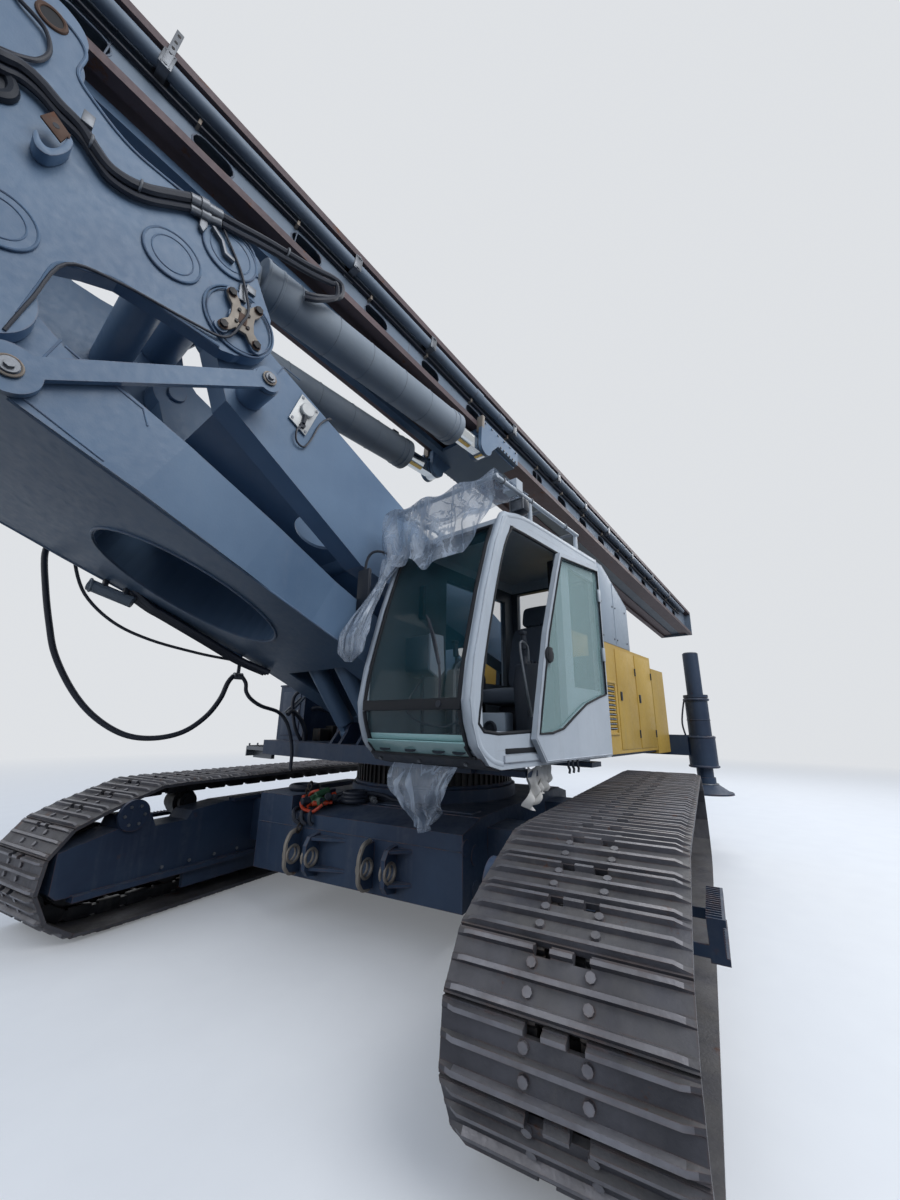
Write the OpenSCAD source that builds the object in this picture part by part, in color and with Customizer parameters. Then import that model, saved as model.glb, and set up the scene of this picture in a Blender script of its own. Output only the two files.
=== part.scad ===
// Crawler-mounted pile driver rig, leader laid back over the cab.
// Millimetres. X points to the front of the crawlers, Y to the machine's left, Z up from the ground.
// The house, boom and leader are drawn in the house frame and turned about the slewing axis.

/* [Crawlers] */
// Distance between the centre lines of the two tracks
track_gauge = 4260; // [3600:10:4600]
// Width of a track shoe
shoe_w = 880; // [600:10:1000]
// Distance from idler centre to sprocket centre
wheelbase = 4700; // [4000:10:5200]
// Height of the upper run over the carrier rollers
run_h = 1105; // [1000:1:1150]
// Outer radius of the track around the front idler
idler_r = 464; // [430:1:490]
// Outer radius of the track around the drive sprocket
sprocket_r = 470; // [430:1:490]
// Pitch of the track shoes along the loop
shoe_pitch = 228; // [200:1:260]
// Thickness of a shoe plate
shoe_t = 26; // [18:1:34]
// Height of a grouser rib above its plate
rib_h = 24; // [15:1:32]
// Height of the side frame's lower edge above the ground
frame_clear = 325; // [300:1:400]

/* [Carbody] */
// Width of the front cross box
box_w = 2150; // [1900:10:2300]
// Distance from the slewing axis to the front cross box's face
box_x = 1400; // [1300:10:1500]
// Ground clearance under the carbody
belly_h = 370; // [330:5:450]
// Height of the front cross box's upper edge
box_top = 830; // [760:5:880]
// Outer radius of the slewing ring
ring_r = 820; // [700:10:900]

/* [House] */
// Turn of the house from straight ahead, positive to the left
slew_angle = -11; // [-20:1:20]
// Width of the house
house_w = 3000; // [2800:10:3200]
// Height of the deck's underside above the ground
deck_h = 1300; // [1280:5:1340]
// Thickness of the deck frame
deck_t = 150; // [120:5:160]
// Height of the engine house above the deck
hood_h = 1180; // [900:10:1300]
// Distance from the slewing axis to the counterweight's rear face
tail = 3720; // [3500:10:3800]

/* [Cab] */
// Distance from the house's centre plane to the cab's outer side
cab_side = 1950; // [1900:5:2000]
// Width of the cab
cab_w = 1000; // [960:5:1040]
// Height of the cab from its floor's underside to its roof
cab_h = 1840; // [1760:5:1900]
// Distance from the slewing axis to the cab's foremost point
cab_front = 1900; // [1860:5:1940]
// Distance from the slewing axis to the cab's rear wall, behind the axis
cab_rear = 150; // [100:5:250]
// Thickness of the cab's walls
cab_wall = 60; // [50:1:70]
// Opening travel of the sliding door
door_travel = 620; // [500:10:640]

/* [Boom] */
// Distance between the boom's two pivots
boom_len = 4443; // [4300:1:4600]
// Rise of the boom's pivot line above level
boom_angle = 26.7; // [22:0.1:30]
// Distance from the centre plane to the boom's outer side at its foot
boom_half = 720; // [700:5:740]
// Distance from the centre plane to the boom's outer side at its head
boom_wide = 845; // [830:5:850]
// Width of each hollow side of the boom's box
beam_w = 220; // [200:10:230]
// Radius of the main pivot pins
pin_r = 70; // [60:1:80]

/* [Leader] */
// Length of the leader
mast_len = 18100; // [16000:100:19000]
// Overhang of the leader in front of its pivot
mast_front = 2260; // [2000:10:2600]
// Width of the leader over its rails
mast_w = 900; // [860:10:940]
// Depth of the leader over its rails
mast_d = 740; // [700:10:780]
// Fall of the laid-back leader towards its head
mast_fall = 5.4; // [4:0.1:7]
// Outer diameter of the tilt cylinders
tilt_d = 380; // [320:5:400]
// Outer diameter of the pipe along the leader
pipe_d = 115; // [90:1:130]

/* [Jacks] */
// Height of a raised jack foot above the ground
jack_lift = 720; // [600:10:800]
// Distance from the slewing axis back to the jacks
jack_back = 3880; // [3840:10:3950]
// Distance from the centre plane to a jack's axis
jack_out = 1900; // [1860:10:2000]

/* [Hidden] */
$fn = 48;
eps = 1;
pin_gap = 0.1;
eye_gap = 3;
pad_gap = 0.3;
side_gap = 20;

// Leader's place in the house frame, and the corners that set the middle of the part's box
mast_pivot = [4245, deck_h + 4190];
mast_up = 810;
mast_tail = mast_len - mast_front;
foot_reach = 60;
head_reach = 420;
head_high = 420;
head_half = 260;
jack_foot_r = 340;
step_out = 105;
function turned(u, v) = [u*cos(slew_angle) - v*sin(slew_angle), u*sin(slew_angle) + v*cos(slew_angle)];
function mast_u(x, z) = mast_pivot[0] + x*cos(mast_fall) - z*sin(mast_fall);
corners = [for (v = [-1, 1])
    each [turned(mast_u(mast_front + foot_reach, -mast_d/2), v*mast_w/2), turned(mast_u(-mast_tail - 40, mast_d/2), v*mast_w/2),
        turned(mast_u(-mast_tail - head_reach, head_high), v*head_half)]];
side_y = track_gauge/2 + shoe_w/2 + step_out;
jack_at = turned(-jack_back, jack_out);
origin_x = (max([for (c = corners) c[0]]) + min([for (c = corners) c[0]]))/2;
origin_y = (max(side_y, jack_at[1] + jack_foot_r, max([for (c = corners) c[1]])) - side_y)/2;

module placed() translate([-origin_x, -origin_y, 0]) children();
module house() placed() rotate([0, 0, slew_angle]) children();

// A profile drawn in length and height, extruded inwards from the plane y = side
module plate(side, t) translate([0, side, 0]) rotate([90, 0, 0]) linear_extrude(t) children();
module both_sides() { children(); mirror([0, 1, 0]) children(); }
module cross_pin(at, y0, y1, r) translate([at[0], y1, at[1]]) rotate([90, 0, 0]) cylinder(r = r, h = y1 - y0);
module slab(x0, x1, y0, y1, z0, z1) translate([x0, y0, z0]) cube([x1 - x0, y1 - y0, z1 - z0]);

function inward(a, b) = [a[1] - b[1], b[0] - a[0]]/norm(b - a);
// A closed outline moved inwards by d, its corners kept
function inset_ring(p, d) = [for (i = [0:len(p) - 1]) let (a = inward(p[(i + len(p) - 1) % len(p)], p[i]),
    b = inward(p[i], p[(i + 1) % len(p)])) p[i] + d*(a + b)/(1 + a*b)];
function ellipse(a, b, n = 40) = [for (i = [0:n - 1]) [a*cos(360*i/n), b*sin(360*i/n)]];

// Track path: circles [x, z, r] in turn, joined by their outer tangents
idler_z = idler_r + 6;
sprocket_z = sprocket_r + 10;
roll_x = wheelbase/2 - 560;
carrier_r = 300;
carrier_x = wheelbase/2 - 450;
out_h = shoe_t + rib_h;
track_circles = [
    [roll_x, carrier_r, carrier_r], [wheelbase/2, idler_z, idler_r],
    [carrier_x, run_h - carrier_r, carrier_r], [-carrier_x, run_h - carrier_r, carrier_r],
    [-wheelbase/2, sprocket_z, sprocket_r], [-roll_x, carrier_r, carrier_r]];
function wrap(a) = a < 0 ? wrap(a + 360) : a >= 360 ? wrap(a - 360) : a;
function normal_to(a, b) = let (d = norm([b[0] - a[0], b[1] - a[1]]))
    atan2(b[1] - a[1], b[0] - a[0]) - 90 + asin((a[2] - b[2])/d);
function circle_at(list, i) = list[(i + len(list)) % len(list)];
function rim(c, angle, inset) = [c[0] + (c[2] - inset)*cos(angle), c[1] + (c[2] - inset)*sin(angle)];
// Pieces [kind, length, start, end or circle, start angle, sweep] of the path, inset from the outer loop
function path_pieces(inset) = [for (i = [0:len(track_circles) - 1])
    let (c = circle_at(track_circles, i), n0 = normal_to(circle_at(track_circles, i - 1), c),
        n1 = normal_to(c, circle_at(track_circles, i + 1)), sweep = wrap(n1 - n0),
        next = circle_at(track_circles, i + 1), p0 = rim(c, n1, inset), p1 = rim(next, n1, inset))
    each [["arc", (c[2] - inset)*sweep*PI/180, c, inset, n0, sweep], ["line", norm(p1 - p0), p0, p1]]];
function total(list, i = 0) = i < len(list) ? list[i][1] + total(list, i + 1) : 0;
function along(list, s, i = 0) = s <= list[i][1] || i == len(list) - 1
    ? (list[i][0] == "line" ? list[i][2] + (list[i][3] - list[i][2])*s/list[i][1]
        : rim(list[i][2], list[i][4] + list[i][5]*s/list[i][1], list[i][3]))
    : along(list, s - list[i][1], i + 1);
pieces = path_pieces(out_h);
loop_len = total(pieces);
shoe_count = round(loop_len/shoe_pitch);
// Shoe profile: [share of the pitch, height above the plate's underside]
rib_profile = [[0.03, shoe_t], [0.05, out_h], [0.13, out_h], [0.17, shoe_t], [0.45, shoe_t],
    [0.47, out_h], [0.55, out_h], [0.58, shoe_t], [0.84, shoe_t], [0.87, out_h], [0.94, out_h], [0.97, shoe_t]];
function shoe_points(k) = let (a = along(pieces, k*loop_len/shoe_count),
        b = along(pieces, min((k + 1)*loop_len/shoe_count, loop_len - 0.01)),
        dir = (b - a)/norm(b - a), n = [dir[1], -dir[0]])
    [for (p = rib_profile) a + dir*norm(b - a)*p[0] + n*p[1]];
module shoe_ring() {
    outer = [for (k = [0:shoe_count - 1]) each shoe_points(k)];
    inner = [for (k = [0:shoe_count - 1]) along(pieces, k*loop_len/shoe_count)];
    difference() {
        polygon(outer);
        polygon(inner);
    }
}
chain_h = 105;
module chain_ring() {
    chain_in = path_pieces(out_h + chain_h);
    span = total(chain_in);
    difference() {
        polygon([for (k = [0:shoe_count - 1]) along(pieces, k*loop_len/shoe_count)]);
        polygon([for (k = [0:shoe_count - 1]) along(chain_in, k*span/shoe_count)]);
    }
}
track_in = track_gauge/2 - shoe_w/2;
track_mid = track_gauge/2;
chain_w = 60;
chain_gap = 150;
module track() {
    plate(track_in + shoe_w, shoe_w) shoe_ring();
    for (s = [-1, 1]) plate(track_mid + s*(chain_gap + chain_w)/2 + chain_w/2, chain_w) chain_ring();
}
module track_left() color("dimgray") placed() track();
module track_right() color("dimgray") placed() mirror([0, 1, 0]) track();

// Wheels inside a track: idler, sprocket, bottom rollers and carrier rollers
inset = out_h + chain_h;
bottom_count = 9;
bottom_r = 150;
// Depth of a chain link's chord inside its arc
function sag(r) = pow(shoe_pitch, 2)/8/(r - inset);
wheel_w = chain_gap + 2*chain_w;
module flanged_wheel(x, z, r) translate([x, track_mid, z]) rotate([90, 0, 0]) {
    cylinder(r = r, h = wheel_w, center = true);
    cylinder(r = r + 30, h = chain_gap - 20, center = true);
    cylinder(r = 60, h = wheel_w/2 + 15);
    translate([0, 0, -wheel_w/2 - 30]) cylinder(r = 60, h = wheel_w/2);
}
module track_wheels() {
    flanged_wheel(wheelbase/2, idler_z, idler_r - inset - 3 - sag(idler_r));
    flanged_wheel(-wheelbase/2, sprocket_z, sprocket_r - inset - 3 - sag(sprocket_r));
    for (i = [0:bottom_count - 1]) flanged_wheel((roll_x - 180)*(2*i/(bottom_count - 1) - 1), inset + bottom_r + pad_gap, bottom_r);
    for (s = [-1, 1]) flanged_wheel(s*carrier_x*0.8, run_h - inset - 96, 90);
}
module track_wheels_left() color("darkslategray") placed() track_wheels();
module track_wheels_right() color("darkslategray") placed() mirror([0, 1, 0]) track_wheels();

// Side frame: inner web plate with a stepped top edge, top and bottom flanges, guards over the rollers
frame_out = track_mid - wheel_w/2 - 15;
module frame_profile() let (h = wheelbase/2) polygon([[-h - 60, frame_clear + 60], [-h + 330, frame_clear], [h - 430, frame_clear], [h + 290, frame_clear + 15],
    [h + 340, frame_clear + 60], [h + 340, 664], [h - 50, 769], [h - 80, 860], [h - 310, 850], [h - 360, 741], [h - 645, 747],
    [h - 694, 821], [h - 1040, 861], [-h + 1500, 861], [-h + 700, 780], [-h + 300, 640], [-h - 60, 600]]);
module crawler_frame() {
    plate(frame_out, frame_out - track_in) frame_profile();
    cross_pin([-wheelbase/2, sprocket_z], track_in + 20, frame_out, 240);
    slab(-wheelbase/2 + 380, wheelbase/2 + 200, track_in - 45, track_in + 40, frame_clear - 22, frame_clear + 22);
    slab(-wheelbase/2 + 1000, wheelbase/2 - 1100, track_in - 45, track_in + 40, 850, 885);
    slab(-roll_x + 150, -roll_x + 1500, track_in + 30, track_in + 70, 160, frame_clear + 10);
    slab(roll_x - 1500, roll_x - 150, track_in + 30, track_in + 70, 160, frame_clear + 10);
    cross_pin([wheelbase/2 - 150, 860], track_in - 35, track_in - pad_gap, 125);
    cross_pin([wheelbase/2 - 150, 860], track_in - 35, track_in + 60, 55);
    step();
}
module crawler_frame_left() color("slategray") placed() crawler_frame();
module crawler_frame_right() color("slategray") placed() mirror([0, 1, 0]) crawler_frame();

// Two-tier grating step on a track frame's outer side
step_x = 1000;
step_w = 560;
module step() {
    outer = track_in + shoe_w;
    for (z = [480, 650]) difference() {
        slab(step_x, step_x + step_w, outer + 15, outer + step_out, z, z + 35);
        for (i = [0:6]) slab(step_x + 30 + i*72, step_x + 80 + i*72, outer + 30, outer + step_out - 20, z - 1, z + 36);
    }
    for (x = [step_x, step_x + step_w - 12]) {
        slab(x, x + 12, outer + 15, outer + 90, 480, 660);
        slab(x, x + 12, frame_out - 2, outer + 30, 500, 560);
    }
}

// Carbody: belly, ring seat, cross beams into the side frames, and the front and rear cross boxes
beam_x = 760;
belly_side = box_w/2;
cheek_w = 420;
module front_box_profile() polygon([[box_x - 560, belly_h], [box_x, belly_h], [box_x, box_top + 40],
    [box_x - 330, box_top + 110], [box_x - 560, box_top + 110]]);
ring_seat = deck_h - 250;
module carbody() color("slategray") placed() {
    slab(-box_x + 300, box_x - 300, -belly_side, belly_side, belly_h + 60, 940);
    translate([0, 0, belly_h + 60]) cylinder(r = ring_r + 60, h = ring_seat - belly_h - 60);
    plate(box_w/2, box_w) front_box_profile();
    mirror([1, 0, 0]) plate(box_w/2, box_w) front_box_profile();
    slab(box_x - 560, box_x, -box_w/2, -box_w/2 + cheek_w, belly_h, 1000);
    for (x = [-beam_x, beam_x]) both_sides() slab(x - 210, x + 210, belly_side + pad_gap, track_in, 440, 850);
    tow_lugs();
    lug_gussets();
}
lug_y = [-520, -310, 270, 490];
lug_r = 62;
lug_z = belly_h + 195;
module tow_lugs() for (y = lug_y) difference() {
    plate(y + 20, 40) polygon([[box_x - eps, belly_h + 40], [box_x + 110, belly_h + 60], [box_x + 150, belly_h + 110],
        [box_x + 150, belly_h + 290], [box_x + 110, belly_h + 350], [box_x - eps, belly_h + 370]]);
    cross_pin([box_x + 85, lug_z], y - 30, y + 30, lug_r);
}
// Gussets beside two of the lugs: [lug's place, reach]
gussets = [[-310, 295], [490, 140]];
module lug_gussets() for (g = gussets) for (z = [belly_h + 100, belly_h + 325]) translate([0, 0, z]) linear_extrude(25)
    polygon([[box_x - eps, g[0] + 19], [box_x + 105, g[0] + 19], [box_x - eps, g[0] + 20 + g[1]]]);
ring_top = deck_h;
ring_bore = ring_r - 160;
module slew_ring() color("dimgray") placed() translate([0, 0, ring_seat]) difference() {
    cylinder(r = ring_r, h = ring_top - ring_seat - 5, $fn = 72);
    translate([0, 0, -eps]) cylinder(r = ring_bore, h = ring_top, $fn = 72);
}

// Boom pivots in the house frame: foot A, head B, strut foot C, strut head D
foot_pivot = [200, deck_h + 320];
along_boom = [cos(boom_angle), sin(boom_angle)];
strut_shift = [-1170, 740];
head_pivot = foot_pivot + boom_len*along_boom;
strut_foot = foot_pivot + strut_shift;
strut_head = head_pivot + strut_shift;
link_low = [3980, deck_h + 1880];
link_high = link_low + strut_shift;
module in_boom() translate([foot_pivot[0], 0, foot_pivot[1]]) rotate([0, -boom_angle, 0]) children();
boom_in = boom_half - beam_w;
ear_t = 60;
deck_top = deck_h + deck_t;
boom_eye_r = 150;
luff_side = 40;

// Deck frame with the boom's foot ears, the strut's tower and the lift cylinders' ears
luff_foot = [1050, deck_h + 260];
luff_y = 200;
luff_d = 170;
luff_pin = 45;
cab_shelf = 40;
module ear(at, side, t, r, base) plate(side + t, t) {
    translate(at) circle(r = r);
    polygon([[at[0] - r, at[1]], [at[0] + r, at[1]], [at[0] + r + 80, base], [at[0] - r - 80, base]]);
}
deck_half = house_w/2 - 40;
module upper_frame() color("slategray") house() {
    slab(-tail + 600, 1250, -deck_half, cab_in - side_gap, deck_h, deck_top);
    slab(-tail + 600, -cab_rear - side_gap, cab_in - side_gap - eps, deck_half, deck_h, deck_top);
    slab(-cab_rear - side_gap - eps, 1250, cab_in - side_gap - eps, deck_half, deck_h, deck_h + cab_shelf);
    for (x = cab_feet) slab(x - 100, x + 100, deck_half - eps, cab_side - 80, deck_h, deck_h + cab_shelf);
    translate([0, 0, ring_seat + 60]) cylinder(r = ring_bore - pad_gap, h = deck_h - ring_seat - 59);
    both_sides() {
        ear(foot_pivot, boom_in - side_gap - ear_t, ear_t, boom_eye_r + 40, deck_top - eps);
        ear(foot_pivot, boom_half + side_gap, ear_t, boom_eye_r + 40, deck_top - eps);
        cross_pin(foot_pivot, boom_in - side_gap - ear_t, boom_half + side_gap + ear_t, pin_r);
        ear(strut_foot, strut_in - side_gap - ear_t, ear_t, 190, deck_top - eps);
        ear(strut_foot, strut_out + side_gap, ear_t, 190, deck_top - eps);
        cross_pin(strut_foot, strut_in - side_gap - ear_t, strut_out + side_gap + ear_t, pin_r);
        for (y = [luff_y - luff_side - 50, luff_y + luff_side + 10]) ear(luff_foot, y, 40, 90, deck_top - eps);
        cross_pin(luff_foot, luff_y - luff_side - 50, luff_y + luff_side + 50, luff_pin);
    }
}
cowl_top = deck_top + 2190;
module engine_house() color("goldenrod") house() {
    difference() {
        union() {
            slab(-tail + 620, -1650, -house_w/2, house_w/2, deck_top, deck_top + hood_h);
            slab(-1650 - eps, -400, 900, house_w/2, deck_top, deck_top + hood_h);
            slab(-1650 - eps, -400, -house_w/2, -900, deck_top, deck_top + hood_h);
            both_sides() slab(-tail + 620, -400, deck_half + 2, house_w/2, deck_h + 30, deck_top + eps);
            slab(-tail + 760, -tail + 1460, -800, 800, deck_top + hood_h - eps, deck_top + hood_h + 90);
            translate([-tail + 1750, -1050, deck_top + hood_h - eps]) cylinder(r = 75, h = 380);
            slab(-1100, -480, -house_w/2 + 30, -1000, deck_top + hood_h - eps, deck_top + hood_h + 50);
            plate(house_w/2 - 10, 440) polygon([[-2300, deck_top + hood_h - eps], [-2300, cowl_top - 400], [-1500, cowl_top], [-1200, cowl_top], [-1200, deck_top + hood_h - eps]]);
        }
        slab(-tail + 700, -1720, -house_w/2 + 60, house_w/2 - 60, deck_top - eps, deck_top + hood_h - 60);
        for (i = [0:9]) slab(-1570, -1120, house_w/2 - 40, house_w/2 + 1, deck_top + 150 + i*54, deck_top + 182 + i*54);
    }
}
module engine_block() color("black") house() slab(-tail + 900, -1850, -600, 700, deck_top + pad_gap, deck_top + 800);
module counterweight() color("goldenrod") house() {
    slab(-tail, -tail + 600 - 1, -house_w/2, house_w/2, deck_h - 20, deck_h + 1180);
}
module right_deck_box() color("slategray") house() slab(350, 1080, -house_w/2, -980, deck_top, deck_top + 600);
module right_walkway() color("gray") house() {
    slab(-380, 1230, -house_w/2 - 380, -deck_half, deck_h + 30, deck_h + 70);
    slab(-380, 1230, -house_w/2 - 380, -house_w/2 - 360, deck_h - 40, deck_h + 71);
    for (x = [-300, 400, 1100]) slab(x, x + 40, -house_w/2 - 370, -deck_half, deck_h - 60, deck_h + 31);
}

// Rear jacks: fixed arms on the counterweight, legs that slide down
jack_tube_r = 190;
jack_neck_r = 155;
jack_stem_r = 110;
jack_low = deck_h - 220;
module jack_arms() color("slategray") house() both_sides() {
    slab(-jack_back - 110, -tail, house_w/2 - 700, jack_out - jack_tube_r + 40, jack_low + 160, jack_low + 450);
    translate([-jack_back, jack_out, jack_low]) difference() {
        union() {
            cylinder(r = jack_tube_r, h = 430);
            cylinder(r = jack_neck_r, h = 1040);
            translate([0, 0, 1000]) cylinder(r = jack_neck_r + 15, h = 40);
        }
        translate([0, 0, -eps]) cylinder(r = jack_stem_r + pin_gap, h = 1042);
    }
}
module jack_leg() translate([-jack_back, jack_out, 0]) {
    translate([0, 0, jack_lift + 200]) cylinder(r = jack_stem_r, h = 1840);
    translate([0, 0, jack_lift]) cylinder(r1 = jack_foot_r, r2 = 150, h = 130, $fn = 32);
    translate([0, 0, jack_lift + 120]) cylinder(r = 130, h = 100);
}
module jack_leg_left() color("slategray") house() jack_leg();
module jack_leg_right() color("slategray") house() mirror([0, 1, 0]) jack_leg();

// Cab in the house frame: outline in length and height
cab_z = deck_h + 80;
cab_top = cab_z + cab_h;
cab_in = cab_side - cab_w;
cab_feet = [0, 1100];
// Windscreen: [share of its height, run back from the foremost point]
screen = [[0, 0], [0.17, 40], [0.48, 160], [0.73, 280], [0.89, 380]];
screen_z = cab_z + 400;
function screen_at(row) = [cab_front - row[1], screen_z + row[0]*(cab_top - screen_z)];
cab_ring = concat([[-cab_rear, cab_z], [cab_front - 300, cab_z], [cab_front - 180, cab_z + 30], [cab_front - 70, cab_z + 140],
    [cab_front - 20, cab_z + 270]], [for (row = screen) screen_at(row)],
    [[cab_front - 480, cab_top - 105], [cab_front - 755, cab_top - 43], [-cab_rear, cab_top]]);
floor_t = 110;
roof_t = 90;
roof_line = [[cab_front + 50, cab_top - 230], [cab_front - 480, cab_top - 105 - roof_t], [cab_front - 755, cab_top - 43 - roof_t],
    [-cab_rear - 50, cab_top - roof_t]];
module cab_outline(inset) polygon(inset_ring(cab_ring, inset));
module cab_floor() color("lightgray") house() {
    plate(cab_side, cab_w) intersection() {
        cab_outline(0);
        translate([-cab_rear, cab_z]) square([cab_front + cab_rear, floor_t]);
    }
    slab(-cab_rear, cab_front - 330, cab_side - eps, cab_side + runner_t - pad_gap, cab_z + 40, cab_z + 80);
    for (x = cab_feet) for (y = [cab_in + 200, cab_side - 200]) translate([x, y, deck_h + cab_shelf])
        cylinder(r = 60, h = cab_z - deck_h - cab_shelf + eps);
}
module cab_roof() color("lightgray") house() {
    plate(cab_side, cab_w) intersection() {
        cab_outline(0);
        polygon(concat(roof_line, [[-cab_rear - 50, cab_top + 50], [cab_front + 50, cab_top + 50]]));
    }
    cab_roof_rack();
}
// Frame between floor and roof: outline shell with windscreen, door, side, rear and roof-edge openings
post = 75;
module cab_band(inset) intersection() {
    cab_outline(inset);
    polygon(concat([[-cab_rear - 50, cab_z + floor_t], [cab_front + 50, cab_z + floor_t]], roof_line));
}
bar_z = cab_z + 345;
bar_h = 60;
glass_top = cab_top - 215;
door_rear = -45;
open_rear = door_rear + door_travel + 90;
module cab_frame() color("gainsboro") house() difference() {
    plate(cab_side, cab_w) cab_band(0);
    plate(cab_side - cab_wall, cab_w - 2*cab_wall) cab_band(cab_wall);
    slab(cab_front - 600, cab_front + 10, cab_in + post, cab_side - post, bar_z + bar_h, glass_top);
    slab(cab_front - 200, cab_front + 10, cab_in + post, cab_side - post, cab_z + floor_t + 25, bar_z);
    plate(cab_side + 1, cab_wall + 2) polygon(concat([[open_rear, cab_z + 220], [cab_front - 120, cab_z + 220]],
        [for (i = [0:4]) screen_at(screen[i]) - [110, 0]], [[cab_front - 520, cab_top - 200], [open_rear, cab_top - 180]]));
    plate(cab_side + 1, cab_wall + 2) translate([-cab_rear + 110, cab_z + 560]) square([open_rear - 40 + cab_rear - 220, 1020]);
    plate(cab_in + cab_wall + 1, cab_wall + 2) translate([60, cab_z + 640]) square([cab_front - 940, 880]);
    slab(-cab_rear - 1, -cab_rear + cab_wall + 1, cab_in + 120, cab_side - 120, cab_z + 900, cab_top - 220);
}
glass_t = 8;
module screen_glass(z0, z1) plate(cab_side - post - 1, cab_w - 2*post - 2) intersection() {
    difference() {
        cab_outline(10);
        cab_outline(10 + glass_t);
    }
    translate([cab_front - 600, z0 + 1]) square([700, z1 - z0 - 2]);
}
module cab_glass() color("lightblue", 0.4) house() {
    screen_glass(bar_z + bar_h, glass_top);
    screen_glass(cab_z + floor_t + 25, bar_z);
    slab(-cab_rear + 20, -cab_rear + 20 + glass_t, cab_in + 121, cab_side - 121, cab_z + 901, cab_top - 221);
    plate(cab_in + 20 + glass_t, glass_t) translate([61, cab_z + 641]) square([cab_front - 942, 878]);
    plate(cab_side - 20, glass_t) translate([-cab_rear + 111, cab_z + 561]) square([open_rear - 42 + cab_rear - 220, 1018]);
}
module cab_seat() color("dimgray") house() translate([250, cab_in + cab_w/2, cab_z + floor_t]) {
    slab(-60, 300, -180, 180, 0, 250);
    slab(-120, 400, -250, 250, 250, 400);
    translate([-120, 0, 380]) rotate([0, -12, 0]) slab(-80, 60, -240, 240, 0, 620);
    translate([-248, 0, 984]) rotate([0, -12, 0]) slab(-60, 40, -140, 140, 0, 200);
}
module cab_controls() color("black") house() translate([0, 0, cab_z + floor_t]) {
    for (y = [cab_in + 110, cab_side - 220]) slab(420, 850, y, y + 110, 0, 560);
    slab(1350, 1480, cab_in + 70, cab_in + 300, 420, 720);
    slab(1380, 1420, cab_in + 150, cab_in + 200, 0, 421);
    for (y = [cab_in + 165, cab_side - 165]) translate([780, y, 559]) cylinder(r = 16, h = 160);
}
// Roof rack of tube with a bar ahead of the roof and a box lamp
rack_z = cab_top + 130;
rack_r = 18;
rack_front = cab_front - 310;
module cab_roof_rack() {
    for (y = [cab_in + 20, cab_side - 10]) {
        translate([250, y, rack_z]) rotate([0, 90, 0]) cylinder(r = rack_r, h = rack_front - 250);
        for (x = [270, 1100]) translate([x, y < cab_side - 20 ? y + 20 : y - 10, cab_top - 60]) cylinder(r = rack_r, h = rack_z - cab_top + 60);
    }
    cross_pin([rack_front, rack_z], cab_in + 2, cab_side + 8, rack_r);
    slab(cab_front - 650, cab_front - 560, cab_side - 110, cab_side + 10, rack_z + 5, rack_z + 95);
}
door_t = 40;
runner_t = 12;
door_y = cab_side + runner_t;
door_ring = [[door_rear, cab_z + 20], [cab_front - 770, cab_z + 20], [cab_front - 640, cab_z + 170], [cab_front - 695, cab_z + 370],
    [cab_front - 850, cab_z + 920], [cab_front - 1060, cab_top - 400], [cab_front - 1145, cab_top - 210], [door_rear, cab_top - 120]];
window_ring = [[door_rear + 40, cab_z + 530], [cab_front - 1750, cab_z + 500], [cab_front - 1470, cab_z + 430],
    [cab_front - 1250, cab_z + 335], [cab_front - 1040, cab_z + 240], [cab_front - 870, cab_z + 210], [cab_front - 690, cab_z + 205],
    [cab_front - 735, cab_z + 370], [cab_front - 888, cab_z + 910], [cab_front - 1094, cab_top - 413], [cab_front - 1165, cab_top - 250],
    [door_rear + 40, cab_top - 165]];
module cab_door() color("gainsboro") house() plate(door_y + door_t, door_t) difference() {
    polygon(door_ring);
    polygon(window_ring);
}
module cab_door_glass() color("lightblue", 0.4) house() plate(door_y + door_t/2 + 4, 8) polygon(inset_ring(window_ring, 1));

// Boom: one wide tapering box, open to the rear, with an oval tube and a recess for the lift cylinders in its belly
boom_ring = [[0, -boom_eye_r], [500, -210], [1820, -235], [4020, -400], [4180, -410], [4230, -330], [4200, -250], [4080, -180],
    [3990, -60], [3922, 53], [1830, 155], [500, 210], [0, boom_eye_r]];
boom_skin = 22;
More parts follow.
